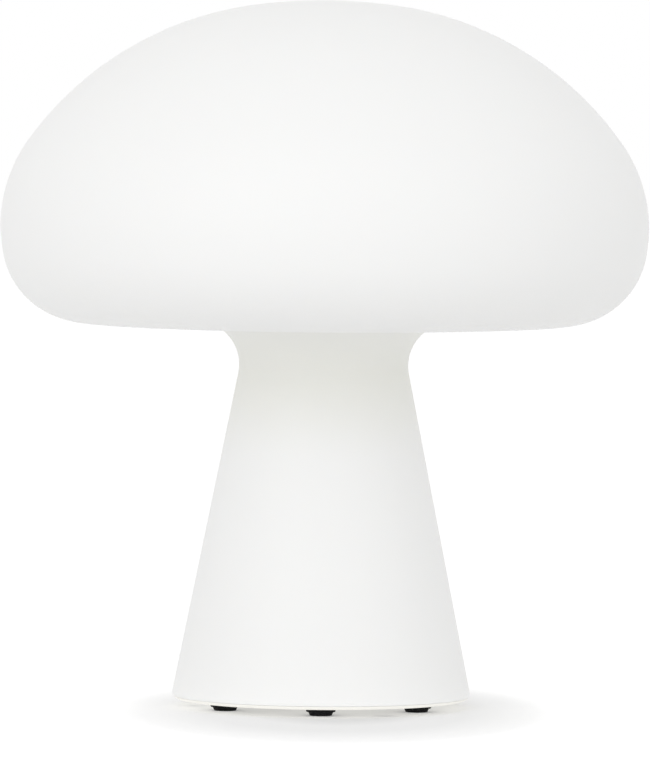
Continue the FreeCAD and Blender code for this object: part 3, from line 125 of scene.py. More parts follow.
# %% Find the stem, and walk both outlines
TOP = (0, LAMP_HEIGHT)
cap_runs = [
    ("arc", CROWN, -CROWN_TURN),
    ("arc", SHOULDER, -SHOULDER_TURN),
    ("arc", SIDE, -SIDE_TURN),
    ("arc", RIM, -RIM_TURN),
]
rim_end = walk(TOP, 0, cap_runs)[-1]
rise = math.radians(UNDERSIDE_RISE)
fillet_x = NECK + NECK_FILLET
underside = (rim_end[0] - fillet_x - NECK_FILLET * math.sin(rise)) / math.cos(rise)
fillet_z = rim_end[1] + underside * math.sin(rise) - NECK_FILLET * math.cos(rise)
edge_x, edge_z = BASE - EDGE_ROUND, FOOT_HEIGHT + EDGE_ROUND
apart = math.hypot(edge_x - fillet_x, fillet_z - edge_z)
radii = EDGE_ROUND + NECK_FILLET
taper = math.atan((edge_x - fillet_x) / (fillet_z - edge_z)) + math.asin(radii / apart)
stem = math.sqrt(apart**2 - radii**2)
seam_turn = math.degrees(taper + math.asin((edge_z - SEAM) / EDGE_ROUND))
body_runs = cap_runs + [
    ("line", underside),
    ("arc", NECK_FILLET, 90 + UNDERSIDE_RISE + math.degrees(taper)),
    ("line", stem),
]
outer = walk(TOP, 0, body_runs + [("arc", EDGE_ROUND, -seam_turn)])
inner = walk(TOP, 0, body_runs, inset=WALL, step=COARSE_STEP)
print("the stem leans", round(math.degrees(taper), 2), "degrees and is", round(stem / MM, 1), "mm long")

# %% [markdown]
# ## A lathe in Geometry Nodes
# The shell, the feet, the button and the screw heads are all turned: one outline, carried round the axis.
# The Screw modifier could do that, but a node tree of one's own can be read, reused and fed with named
# inputs. It lays out a flat grid with one row for each outline point and one column for each step round
# the axis, then moves every grid point to its outline point, turned by its column's angle. Merge by
# Distance closes the seam and the poles. Five small helpers keep the trees short, here and in the finishes.

# %% Small helpers for node trees
def node(tree, kind, *links, **settings):
    """A node with its settings, fed by (input, source) links. A source is an output socket or a value."""
    made = tree.nodes.new(kind)
    for name, value in settings.items():
        setattr(made, name, value)
    for socket, source in links:
        if isinstance(source, bpy.types.NodeSocket):
            tree.links.new(source, made.inputs[socket])
        else:
            made.inputs[socket].default_value = source
    return made


def maths(tree, operation, *sources):
    """What a Math node makes of its sources."""
    return node(tree, "ShaderNodeMath", *enumerate(sources), operation=operation).outputs[0]


def remap(tree, value, start, end, low, high, **settings):
    """A number that goes from low to high while the value goes from start to end, and no further."""
    limits = {"Value": value, "From Min": start, "From Max": end, "To Min": low, "To Max": high}
    return node(tree, "ShaderNodeMapRange", *limits.items(), **settings).outputs[0]


def mixed(tree, share, first, second, kind="RGBA", **settings):
    """Between two colours or numbers: the first where the share is 0, the second where it is 1."""
    ends = ("Factor", share), ("A", first), ("B", second)
    return node(tree, "ShaderNodeMix", *ends, data_type=kind, **settings).outputs["Result"]


def length(tree, vector):
    """How long a vector is."""
    return node(tree, "ShaderNodeVectorMath", (0, vector), operation="LENGTH").outputs["Value"]


print("helpers:", [helper.__name__ for helper in (node, maths, remap, mixed, length)])

# %% [markdown]
# ## Running a tree once
# A Geometry Nodes modifier stays live, and is worked out again whenever its piece is touched. A finished
# piece wants a plain mesh instead. So the tree runs on an empty object. Its inputs are set by their
# identifiers before the object is first evaluated, the evaluated mesh is taken over, and the modifier goes.

# %% Make a geometry tree and run it
def add(name, data):
    """A new object at the scene's origin."""
    made = bpy.data.objects.new(name, data)
    bpy.context.scene.collection.objects.link(made)
    return made


def finished(piece):
    """Replace a piece's modifiers by the plain mesh that they make."""
    depsgraph = bpy.context.evaluated_depsgraph_get()
    mesh = bpy.data.meshes.new_from_object(piece.evaluated_get(depsgraph))
    piece.modifiers.clear()
    piece.data = mesh
    return piece


def geometry_tree(name, **inputs):
    """An empty geometry tree with named inputs."""
    tree = bpy.data.node_groups.new(name, "GeometryNodeTree")
    tree.interface.new_socket("Geometry", in_out="OUTPUT", socket_type="NodeSocketGeometry")
    for label, kind in inputs.items():
        tree.interface.new_socket(label, in_out="INPUT", socket_type=f"NodeSocket{kind}")
    return tree, tree.nodes.new("NodeGroupInput").outputs


def end_tree(tree, geometry, finish):
    """End a geometry tree with real geometry in its finish."""
    realized = node(tree, "GeometryNodeRealizeInstances", ("Geometry", geometry)).outputs[0]
    coated = node(tree, "GeometryNodeSetMaterial", ("Geometry", realized), ("Material", finish))
    node(tree, "NodeGroupOutput", ("Geometry", coated.outputs[0]))
    print(f"{tree.name} tree: {len(tree.nodes)} nodes")


def run_tree(name, tree, **values):
    """Run a tree on an empty object, and keep the result as a plain mesh at the origin."""
    piece = add(name, bpy.data.meshes.new(f"{name}_start"))
    modifier = piece.modifiers.new(tree.name, "NODES")
    modifier.node_group = tree
    for item in tree.interface.items_tree:
        if item.in_out == "INPUT":
            modifier[item.identifier] = values[item.name]
    finished(piece).data.name = name
    return piece


helpers = (add, finished, geometry_tree, end_tree, run_tree)
print("helpers:", [helper.__name__ for helper in helpers])

# %% The lathe tree
LATHE_MERGE = 1e-6
lathe, given = geometry_tree("lathe", Outline="Object", Columns="Int", Finish="Material")
outline = node(lathe, "GeometryNodeObjectInfo", ("Object", given["Outline"])).outputs["Geometry"]
rows = node(lathe, "GeometryNodeAttributeDomainSize", ("Geometry", outline)).outputs["Point Count"]
across = maths(lathe, "ADD", given["Columns"], 1.0)
grid = node(lathe, "GeometryNodeMeshGrid", ("Vertices X", across), ("Vertices Y", rows)).outputs["Mesh"]
index = node(lathe, "GeometryNodeInputIndex").outputs[0]
row = maths(lathe, "MODULO", index, rows)
column = maths(lathe, "FLOOR", maths(lathe, "DIVIDE", index, rows))
point = node(
    lathe, "GeometryNodeSampleIndex", ("Geometry", outline), ("Index", row),
    ("Value", node(lathe, "GeometryNodeInputPosition").outputs[0]), data_type="FLOAT_VECTOR", domain="POINT",
).outputs[0]
angle = maths(lathe, "MULTIPLY", maths(lathe, "DIVIDE", column, given["Columns"]), WHOLE_TURN)
turned = node(lathe, "ShaderNodeVectorRotate", ("Vector", point), ("Angle", angle), rotation_type="Z_AXIS")
moved = node(lathe, "GeometryNodeSetPosition", ("Geometry", grid), ("Position", turned.outputs[0]))
merged = node(lathe, "GeometryNodeMergeByDistance", ("Geometry", moved.outputs[0]), ("Distance", LATHE_MERGE))
end_tree(lathe, merged.outputs[0], given["Finish"])

# %% [markdown]
# ## From an outline to a piece
# The lathe reads its outline from a mesh that is nothing but a row of points. What comes out can be inside
# out, depending on the way the outline was drawn, so its normals are recalculated once its doubles are
# merged. Smooth shading makes the steps round, and edges sharper than an angle stay crisp.

# %% Turn an outline
DOUBLES, SHARP_FROM = 1e-7, 35
SHELL_COLUMNS, BUTTON_COLUMNS, SMALL_COLUMNS = 256, 96, 48


def merge(mesh, reach=DOUBLES, outward=True):
    """Merge a mesh's doubles, and point every face outwards unless they point that way already."""
    work = bmesh.new()
    work.from_mesh(mesh)
    bmesh.ops.remove_doubles(work, verts=work.verts, dist=reach)
    if outward:
        bmesh.ops.recalc_face_normals(work, faces=work.faces)
    work.to_mesh(mesh)
    work.free()


def smooth(mesh, degrees=SHARP_FROM):
    """Shade smooth, but keep edges sharper than the angle."""
    mesh.polygons.foreach_set("use_smooth", [True] * len(mesh.polygons))
    mesh.set_sharp_from_angle(angle=math.radians(degrees))


def turn(name, points, columns, finish):
    """A turned piece from (across, up) points, which end on the axis or repeat their first point."""
    mesh = bpy.data.meshes.new(f"{name}_outline")
    mesh.from_pydata([(x, 0, z) for x, z in points], [], [])
    outline = add(f"{name}_outline", mesh)
    made = run_tree(name, lathe, Outline=outline, Columns=columns, Finish=finish)
    bpy.data.objects.remove(outline)
    merge(made.data)
    smooth(made.data)
    print(f"{name}: {len(made.data.vertices)} points, {len(made.data.polygons)} faces")
    return made


print("edges sharper than", SHARP_FROM, "degrees stay crisp")

# %% [markdown]
# ## Finishes
# No moulded surface is one flat colour. Seen close by, its tone drifts a little from place to place, its
# gloss follows the tool it was made in, and a fine grain breaks up reflections. One helper builds that
# from noise textures on Object coordinates, and the finishes differ in their numbers. Numbers that are the
# same all over a surface are set on the shader's own sockets.

# %% Drifting tone, gloss and grain
NOISE_LOW, NOISE_HIGH = 0.3, 0.7


def material(name, colour, **sockets):
    """A node material with its shader, on which constants are set, and the object's own coordinates."""
    made = bpy.data.materials.new(name)
    made.use_nodes = True
    made.diffuse_color = (*colour, 1)
    tree = made.node_tree
    shader = tree.nodes["Principled BSDF"]
    for socket, value in sockets.items():
        shader.inputs[socket.replace("_", " ")].default_value = value
    return made, tree, shader, node(tree, "ShaderNodeTexCoord").outputs["Object"]


def feed(tree, shader, **sources):
    """Link output sockets to the shader's inputs."""
    for socket, source in sources.items():
        tree.links.new(source, shader.inputs[socket.replace("_", " ")])


def drift(tree, place, size, low, high, detail=3.0):
    """Noise of about the given size in metres, spread from low to high. These are colours or numbers."""
    noise = node(tree, "ShaderNodeTexNoise", ("Vector", place), ("Scale", 1 / size), ("Detail", detail))
    if isinstance(low, tuple):
        return mixed(tree, noise.outputs[0], (*low, 1), (*high, 1))
    return remap(tree, noise.outputs[0], NOISE_LOW, NOISE_HIGH, low, high)


def grain(tree, height, depth):
    """Relief from a height between 0 and 1, whose full range is depth metres."""
    sources = ("Height", height), ("Distance", depth), ("Strength", 1.0)
    return node(tree, "ShaderNodeBump", *sources).outputs[0]


print("noise is read from", NOISE_LOW, "to", NOISE_HIGH)

# %% [markdown]
# ## Moulded plastic and rubber
# Opal plastic lets light in a little way and scatters it, which softens the turn from light to shade. The
# Subsurface sockets do that. The rubber is nearly black and dull, and the rest are plain moulded plastics.

# %% The plastics and rubbers
GLOSS_DRIFT, GLOSS_PATCHES = 0.08, 3


def shades(colour, *shares):
    """A colour in several strengths."""
    return [tuple(min(1.0, part * share) for part in colour) for share in shares]


def about(number, share):
    """The least and the most that a number drifts to."""
    return number * (1 - share), min(1.0, number * (1 + share))


def moulded(
    name, colour, roughness, tone=0.03, patch=0.03, grain_size=0.0006, grain_depth=0.000004, **sockets
):
    """Moulded plastic or rubber. Tone is the share by which its colour drifts over patches."""
    made, tree, shader, place = material(name, colour, **sockets)
    colours = drift(tree, place, patch, *shades(colour, 1 - tone, 1 + tone))
    gloss = drift(tree, place, patch / GLOSS_PATCHES, *about(roughness, GLOSS_DRIFT))
    relief = grain(tree, drift(tree, place, grain_size, 0.0, 1.0, detail=2.0), grain_depth)
    feed(tree, shader, Base_Color=colours, Roughness=gloss, Normal=relief)
    return made


opal = moulded(
    "opal_shell", (0.93, 0.93, 0.92), 0.52, tone=0.006, patch=0.06, grain_size=0.0009, grain_depth=0.000006,
    Subsurface_Weight=0.12, Subsurface_Scale=0.004, Subsurface_Radius=(1.0, 0.95, 0.85),
    Specular_IOR_Level=0.35,
)
cream = moulded("cover_plastic", (0.92, 0.91, 0.86), 0.5, tone=0.01, grain_size=0.0007)
rubber = moulded(
    "black_rubber", (0.006, 0.006, 0.0065), 0.75, tone=0.25, patch=0.004, grain_size=0.0004,
    Specular_IOR_Level=0.2,
)
silicone = moulded("white_silicone", (0.86, 0.86, 0.84), 0.62, tone=0.015, patch=0.01)
grey = moulded("grey_plastic", (0.55, 0.56, 0.57), 0.42, tone=0.03, patch=0.008)
print("moulded so far:", [item.name for item in (opal, cream, rubber, silicone, grey)])

# %% [markdown]
# ## Painted shade at the neck
# Under the cap the neck gets less light, and the warm white plastic round it sends back a warmer light. That
# shade and warmth are painted: a darker, creamier tone is multiplied into the shell's colour. It is strongest
# at the neck's height and fades out up, down and away from the axis, so that the cap keeps its own white.

# %% Paint shade on the neck
# painted shade and warm bounce light under the cap, multiplied into the shell's colour
NECK_SHADE_TONE = (0.97, 0.97, 0.93)
NECK_HEIGHT, NECK_FADE = 118 * MM, 34 * MM
NECK_NEAR, NECK_FAR = 36 * MM, 56 * MM
tree = opal.node_tree
place = node(tree, "ShaderNodeTexCoord").outputs["Object"]
height = node(tree, "ShaderNodeSeparateXYZ", ("Vector", place)).outputs["Z"]
from_neck = maths(tree, "ABSOLUTE", maths(tree, "SUBTRACT", height, NECK_HEIGHT))
along = remap(tree, from_neck, 0.0, NECK_FADE, 1.0, 0.0, interpolation_type="SMOOTHSTEP")
flat = node(tree, "ShaderNodeVectorMath", (0, place), (1, (1, 1, 0)), operation="MULTIPLY").outputs[0]
beside = remap(tree, length(tree, flat), NECK_NEAR, NECK_FAR, 1.0, 0.0, interpolation_type="SMOOTHSTEP")
share = maths(tree, "MULTIPLY", along, beside)
shader = tree.nodes["Principled BSDF"]
plain = shader.inputs["Base Color"].links[0].from_socket
feed(tree, shader, Base_Color=mixed(tree, share, plain, (*NECK_SHADE_TONE, 1), blend_type="MULTIPLY"))
print("neck tone", NECK_SHADE_TONE, "at", round(NECK_HEIGHT / MM), "mm")

# %% [markdown]
# ## The shell
# Outside and inside are one closed outline: down the outer walk to the seam, across the foot of the wall,
# and back up the inner walk to the pole. The lathe closes it. 256 columns are enough for a smooth contour
# at this size, and 65,000 faces are still light.

# %% Turn the shell
missing = (inner[-1][1] - SEAM) / math.cos(taper)
inner.append((inner[-1][0] + missing * math.sin(taper), SEAM))
shell = turn("opal_shell", outer + inner[::-1], SHELL_COLUMNS, opal)

# %% [markdown]
# ## The port
# A charging plug goes in at the back, low on the stem, through a hole with round ends. The hole is cut with
# a Boolean modifier in its Exact solver, because that keeps a thin wall clean. The cutter is a box with
# rounded corners, which leaves the sleeve's nose in the CAD model a tenth of a millimetre all round.

# %% A rounded cutter
CORNER_STEPS = 12


def rounded_box(name, low, high, corner):
    """A box along Y whose corners are rounded in the plane of X and Z."""
    points = []
    for quarter, (x, z) in enumerate(((high.x, high.z), (low.x, high.z), (low.x, low.z), (high.x, low.z))):
        centre_x = x - math.copysign(corner, x - (low.x + high.x) / 2)
        centre_z = z - math.copysign(corner, z - (low.z + high.z) / 2)
        for index in range(CORNER_STEPS + 1):
            angle = QUARTER_TURN * (quarter + index / CORNER_STEPS)
            points.append((centre_x + corner * math.cos(angle), centre_z + corner * math.sin(angle)))
    count = len(points)
    mesh = bpy.data.meshes.new(name)
    places = [(x, y, z) for y in (low.y, high.y) for x, z in points]
    faces = [tuple(range(count)), tuple(range(count, 2 * count))]
    faces += [(i, (i + 1) % count, count + (i + 1) % count, count + i) for i in range(count)]
    mesh.from_pydata(places, [], faces)
    merge(mesh)
    return add(name, mesh)


print("a rounded corner takes", CORNER_STEPS, "steps")

# %% Cut the port
NOSE_INSET, PORT_GAP = 1.7 * MM, 0.1 * MM
CUT_FROM, CUT_TO = 35 * MM, 60 * MM
END_STRAIGHT = 0.05 * MM


def cut(piece, cutter, crossed=False):
    """Take the cutter's shape out of a piece. A cutter may cross itself if that is said."""
    modifier = piece.modifiers.new("cut", "BOOLEAN")
    modifier.object, modifier.operation, modifier.solver = cutter, "DIFFERENCE", "EXACT"
    modifier.use_self = crossed
    finished(piece)
    bpy.data.objects.remove(cutter)
    smooth(piece.data)


sleeve_low, sleeve_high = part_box("port_sleeve")
inset = NOSE_INSET - PORT_GAP
port_low = Vector((sleeve_low.x + inset, CUT_FROM, sleeve_low.z + inset))
port_high = Vector((sleeve_high.x - inset, CUT_TO, sleeve_high.z - inset))
cut(shell, rounded_box("port_cutter", port_low, port_high, (port_high.z - port_low.z) / 2 - END_STRAIGHT))
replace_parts(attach(shell, "lamp"), "lamp_shell")
port_size = [round(value / MM, 1) for value in port_high - port_low]
print("shell:", len(shell.data.polygons), "faces, cutter", port_size, "mm")

# %% [markdown]
# ## Moulded pieces from the CAD model
# The cover and the sleeve have the right shape already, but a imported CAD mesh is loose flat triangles, with
# normals of its own that no longer fit once its doubles are merged. So a copy drops those normals, merges
# its doubles, and is shaded smooth between its real edges. Long thin triangles would still show as smears
# on flat faces. Normals weighted by each face's area make them flat again.

# %% Smooth copies
CAD_DOUBLES, CAD_SHARP_FROM = 1e-6, 30


def smooth_copy(name, source, finish):
    """A copy of a CAD node with merged doubles, shaded smooth up to its real edges, in its place."""
    mesh = frame["nodes"][source].data.copy()
    mesh.name = name
    merge(mesh, CAD_DOUBLES, outward=False)
    stale = mesh.attributes.get("custom_normal")
    if stale is not None:
        mesh.attributes.remove(stale)
    mesh.materials.clear()
    mesh.materials.append(finish)
    smooth(mesh, CAD_SHARP_FROM)
    made = add(name, mesh)
    made.modifiers.new("by_area", "WEIGHTED_NORMAL").keep_sharp = True
    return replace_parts(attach(finished(made), "lamp"), source)


cover = smooth_copy("cover_moulding", "base_cover", cream)
sleeve = smooth_copy("charging_tunnel", "port_sleeve", silicone)
print("cover:", len(cover.data.vertices), "points, tunnel:", len(sleeve.data.vertices), "points")

# %% [markdown]
# ## A tree that repeats
# The feet and the screws stand in circles. One piece is made, and a node tree repeats it. The tree takes
# the count, the circle and the first angle as inputs, so one tree does both. Instances cost nothing while
# the tree works, and Realize Instances turns them into real geometry at its end, because an export drops
# instances.

# %% The ring tree
ring, given = geometry_tree(
    "ring", Piece="Object", Count="Int", Circle="Float", First="Float", Finish="Material"
)
stands = node(ring, "GeometryNodeMeshCircle", ("Vertices", given["Count"]), ("Radius", given["Circle"]))
piece = node(ring, "GeometryNodeObjectInfo", ("Object", given["Piece"]), ("As Instance", True))
share = maths(ring, "DIVIDE", node(ring, "GeometryNodeInputIndex").outputs[0], given["Count"])
facing = node(ring, "ShaderNodeCombineXYZ", ("Z", maths(ring, "MULTIPLY", share, WHOLE_TURN))).outputs[0]
start = node(ring, "ShaderNodeCombineXYZ", ("Z", given["First"])).outputs[0]
placed = node(
    ring, "GeometryNodeInstanceOnPoints", ("Points", stands.outputs[0]),
    ("Instance", piece.outputs["Geometry"]), ("Rotation", facing),
)
begun = node(ring, "GeometryNodeTransform", ("Geometry", placed.outputs[0]), ("Rotation", start))
end_tree(ring, begun.outputs[0], given["Finish"])


def repeat(name, piece, count, circle, first, finish):
    """Copies of a piece round the axis, as one plain mesh. The piece itself goes."""
    inputs = {"Piece": piece, "Count": count, "Circle": circle, "First": math.radians(first)}
    made = run_tree(name, ring, Finish=finish, **inputs)
    bpy.data.objects.remove(piece)
    merge(made.data)
    smooth(made.data)
    print(f"{name}: {count} copies, {len(made.data.polygons)} faces")
    return made


# %% [markdown]
# ## Six rubber feet
# A foot is a soft bumper that is pulled through a hole in the cover. From below it has a tread with a
# shallow hollow, a step, a wider flange, a stalk through the hole, and a barb that holds it. Soft rounds
# on the tread and the flange catch the light, as on the real feet. It is one more outline for the lathe.

# %% The foot's sizes
FOOT_TREAD, FOOT_SHOULDER, FOOT_FLANGE = (size / 2 * MM for size in (7.9, 8.8, 10.2))
FOOT_STALK, FOOT_BARB = (size / 2 * MM for size in (4, 5.4))
FOOT_STEP, FOOT_RECESS, PLATE, FOOT_GAP = 1.25 * MM, 0.8 * MM, 2.5 * MM, 0.1 * MM
SOFT, CRISP = 0.4 * MM, 0.1 * MM
HOLLOW, HOLLOW_FLOOR, HOLLOW_RIM = 0.15 * MM, 0.45, 0.55
BARB_EDGE, BARB_NARROWS, BARB_TOP = 0.4 * MM, 0.4 * MM, 1.6 * MM
FOOT_INSET, FOOT_COUNT, FIRST_FOOT = 13.6 * MM, 6, 30
FOOT_CIRCLE = BASE - FOOT_INSET
foot_seat, plate_top = FOOT_HEIGHT + FOOT_RECESS, FOOT_HEIGHT + PLATE
barb_foot = plate_top + FOOT_GAP
print("feet stand on a circle of", round(FOOT_CIRCLE / MM, 2), "mm radius")


# %% The feet
def rounded(x, z, radius, start, steps=6):
    """A quarter round from the start angle, in degrees, against the clock, about its own centre."""
    angles = [math.radians(start + 90 * index / steps) for index in range(steps + 1)]
    return [(x + radius * math.cos(angle), z + radius * math.sin(angle)) for angle in angles]


foot_outline = [
    (0, HOLLOW),
    (FOOT_TREAD * HOLLOW_FLOOR, HOLLOW),
    (FOOT_TREAD * HOLLOW_RIM, 0),
    *rounded(FOOT_TREAD - SOFT, SOFT, SOFT, -90),
    (FOOT_SHOULDER - CRISP, FOOT_STEP - CRISP),
    (FOOT_SHOULDER, FOOT_STEP),
    *rounded(FOOT_FLANGE - SOFT, FOOT_STEP + SOFT, SOFT, -90),
    (FOOT_FLANGE, foot_seat),
    (FOOT_STALK, foot_seat),
    (FOOT_STALK, barb_foot),
    (FOOT_BARB, barb_foot),
    (FOOT_BARB, barb_foot + BARB_EDGE),
    (FOOT_STALK - BARB_NARROWS, plate_top + BARB_TOP),
    (0, plate_top + BARB_TOP),
]
one_foot = turn("one_foot", foot_outline, SMALL_COLUMNS, rubber)
feet = repeat("rubber_feet", one_foot, FOOT_COUNT, FOOT_CIRCLE, FIRST_FOOT, rubber)
foot_nodes = [f"rubber_foot_{index}" for index in range(1, FOOT_COUNT + 1)]
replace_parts(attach(feet, "lamp"), *foot_nodes)

# %% [markdown]
# ## Metals
# Metal differs from plastic in one socket, Metallic, but its looks come from how it was worked. A turned
# disc has rings, rolled strip has streaks along it, and plating is nearly clean. So each worked metal
# stretches its noise in another direction with a Mapping node, and turned metal gets its rings from a wave.

# %% Worked and turned metals
STREAK, FINE_STREAK, SCRATCH = 2 * MM, 1 * MM, 0.6 * MM
STREAK_SHADE, STREAK_GLOSS = 0.88, 0.25
TURNED_PATCH, TURNED_GLOSS_PATCH, TURNED_DEPTH = 4 * MM, 2 * MM, 0.004 * MM
TURNED_SHADE, TURNED_GLOSS = 0.9, 0.2
WAVE = {"Distortion": 0.4, "Detail": 1.0}


def worked_metal(name, colour, roughness, stretch, depth=0.000002):
    """Metal with streaks: stretch scales the coordinates, so a small number draws the noise out that way."""
    made, tree, shader, place = material(name, colour, Metallic=1.0)
    drawn = node(tree, "ShaderNodeMapping", ("Vector", place), ("Scale", stretch)).outputs[0]
    colours = drift(tree, drawn, STREAK, *shades(colour, STREAK_SHADE, 1.0))
    gloss = drift(tree, drawn, FINE_STREAK, *about(roughness, STREAK_GLOSS))
    relief = grain(tree, drift(tree, drawn, SCRATCH, 0.0, 1.0), depth)
    feed(tree, shader, Base_Color=colours, Roughness=gloss, Normal=relief)
    return made


def turned_metal(name, colour, roughness, pitch):
    """Metal faced on a lathe: fine rings round the axis."""
    made, tree, shader, place = material(name, colour, Metallic=1.0)
    rings = node(
        tree, "ShaderNodeTexWave", ("Vector", place), ("Scale", 1 / pitch), *WAVE.items(),
        wave_type="RINGS", rings_direction="Z",
    )
    colours = drift(tree, place, TURNED_PATCH, *shades(colour, TURNED_SHADE, 1.0))
    gloss = drift(tree, place, TURNED_GLOSS_PATCH, *about(roughness, TURNED_GLOSS))
    relief = grain(tree, rings.outputs["Fac"], TURNED_DEPTH)
    feed(tree, shader, Base_Color=colours, Roughness=gloss, Normal=relief)
    return made


metals = {
    "steel": worked_metal("steel", (0.62, 0.62, 0.63), 0.3, (1, 1, 0.15)),
    "nickel": worked_metal("nickel", (0.72, 0.7, 0.66), 0.28, (0.08, 1, 1)),
    "solder": worked_metal("solder", (0.75, 0.76, 0.78), 0.22, (1, 1, 1), depth=0.00001),
    "aluminium": turned_metal("aluminium", (0.78, 0.79, 0.8), 0.28, 0.0004),
}
print("metals:", list(metals))

# %% [markdown]
# ## Boards and foam
# A circuit board shows its copper through the solder mask as slightly lighter tracks, which a brick pattern
# with thin joints gives cheaply. The shade in foam's pores is painted: a darker colour in the pores between
# lighter walls, which is what a Voronoi texture draws: its distance is nought in the middle of a cell and
# grows towards the walls.

# %% Boards and foam
TRACKS = {"Scale": 180.0, "Mortar Size": 0.012, "Bias": 0.2, "Brick Width": 1.3, "Row Height": 0.35}
TRACK_OFFSET, TRACK_HEIGHT, MASK_SHADE = 0.37, 0.02 * MM, 0.92
MASK_PATCH, MASK_GLOSS = 3 * MM, 0.1
PORE_SHADE, PORE_DEPTH, FOAM_ROUGHNESS = 0.4, 0.2, 0.9


def board(name, mask, copper, roughness):
    """A circuit board: tracks of copper under a solder mask."""
    made, tree, shader, place = material(name, mask)
    tracks = node(tree, "ShaderNodeTexBrick", ("Vector", place), *TRACKS.items(), offset=TRACK_OFFSET)
    for socket, colour in zip(("Color1", "Color2", "Mortar"), (*shades(mask, 1.0, MASK_SHADE), copper)):
        tracks.inputs[socket].default_value = (*colour, 1)
    gloss = drift(tree, place, MASK_PATCH, *about(roughness, MASK_GLOSS))
    relief = grain(tree, tracks.outputs["Fac"], TRACK_HEIGHT)
    feed(tree, shader, Base_Color=tracks.outputs["Color"], Roughness=gloss, Normal=relief)
    return made


def foamed(name, colour, cell):
    """Foam rubber: painted shade in the pores between the walls of its cells."""
    made, tree, shader, place = material(name, colour, Roughness=FOAM_ROUGHNESS)
    cells = node(tree, "ShaderNodeTexVoronoi", ("Vector", place), ("Scale", 1 / cell), feature="F1")
    away = cells.outputs["Distance"]
    # painted shade: the pores take a darkened copy of the foam's colour
    dark = shades(colour, PORE_SHADE)[0]
    colours = mixed(tree, away, (*dark, 1), (*colour, 1))
    feed(tree, shader, Base_Color=colours, Normal=grain(tree, away, cell * PORE_DEPTH))
    return made


boards = {
    "green_board": board("green_board", (0.02, 0.2, 0.09), (0.06, 0.3, 0.13), 0.32),
    "white_board": board("white_board", (0.9, 0.9, 0.9), (0.82, 0.8, 0.74), 0.35),
    "foam": foamed("foam", (0.1, 0.1, 0.11), 0.0006),
}
print("boards and foam:", list(boards))

# %% [markdown]
# ## A finish for every node
# The record names a material slot for each CAD node. One table turns those slots into finishes, so that
# pieces of the same stuff share one material, and a loop gives every node its own.

# %% One finish for each slot of the record
finishes = {
    **metals,
    **boards,
    "opal_shell": opal,
    "cover_plastic": cream,
    "black_rubber": rubber,
    "white_silicone": silicone,
    "grey_plastic": grey,
    "inner_plastic": moulded("inner_plastic", (0.88, 0.88, 0.87), 0.45, tone=0.012),
    "black_plastic": moulded("black_plastic", (0.03, 0.03, 0.035), 0.5, tone=0.15, patch=0.004),
    "ivory_plastic": moulded("ivory_plastic", (0.85, 0.83, 0.76), 0.42, tone=0.02, patch=0.004),
    "red_sleeve": moulded("red_sleeve", (0.6, 0.02, 0.02), 0.3, tone=0.05, patch=0.006, Coat_Weight=0.3),
    "black_sleeve": moulded("black_sleeve", (0.02, 0.02, 0.02), 0.3, tone=0.1, patch=0.006, Coat_Weight=0.3),
    "light_chip": moulded("light_chip", (0.92, 0.75, 0.25), 0.35, tone=0.05, patch=0.001, Coat_Weight=0.5),
    "frosted_dome": moulded(
        "frosted_dome", (0.94, 0.94, 0.93), 0.6, tone=0.01, Transmission_Weight=0.25, Subsurface_Weight=0.3,
        Subsurface_Scale=0.002,
    ),
    "cell_film": moulded("cell_film", (0.1, 0.32, 0.5), 0.28, tone=0.06, patch=0.008, Coat_Weight=0.6),
}
slots = {part["node"]: part["material_slot"] for part in frame["record"]["subparts"]}
for name, part in frame["nodes"].items():
    part.data.materials.clear()
    part.data.materials.append(finishes[slots[name]])
print(len(finishes), "finishes on", len(slots), "CAD nodes")

# %% [markdown]
# ## The button
# The button is turned too: a shallow finger dish, a soft edge, and inside the cover a wider flange that
# keeps it from falling out. The dish is part of a sphere, whose radius follows from its width and depth.
# The button rides on its own body, so it moves when the joint does.

# %% Turn the button
BUTTON, BUTTON_EDGE, BUTTON_STEM = 7.0 * MM, 0.5 * MM, 2.1 * MM
BUTTON_FLANGE, FLANGE_PLATE, FLANGE_GAP = 8.5 * MM, 0.8 * MM, 0.1 * MM
DISH, DISH_DEPTH, DISH_STEPS = 5.2 * MM, 0.5 * MM, 12
button_low, button_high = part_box("power_button")
face, flange_foot = button_low.z, plate_top + FLANGE_GAP
dish_radius = (DISH**2 + DISH_DEPTH**2) / (2 * DISH_DEPTH)
dish = []
for step in range(DISH_STEPS + 1):
    across = DISH * step / DISH_STEPS
    dish.append((across, face + DISH_DEPTH - dish_radius + math.sqrt(dish_radius**2 - across**2)))
button_outline = dish + [
    *rounded(BUTTON - BUTTON_EDGE, face + BUTTON_EDGE, BUTTON_EDGE, -90),
    (BUTTON, flange_foot),
    (BUTTON_FLANGE, flange_foot),
    (BUTTON_FLANGE, flange_foot + FLANGE_PLATE),
    (BUTTON_STEM, flange_foot + FLANGE_PLATE),
    (BUTTON_STEM, button_high.z),
    (0, button_high.z),
]
button = turn("power_push_button", button_outline, BUTTON_COLUMNS, grey)
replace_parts(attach(button, "button"), "power_button")

# %% [markdown]
# ## The cover screws
# A pan head is turned, with a rounded edge and a plain core that ends in a point. Its cross recess is cut
# by two blades that get narrower and thinner towards their tips, as a screwdriver's do. The ring tree then
# sets three of them round the axis.

# %% Blades for a cross recess
BLADE_START, TIP_WIDTH, TIP_THICKNESS = 0.2 * MM, 0.35, 0.55


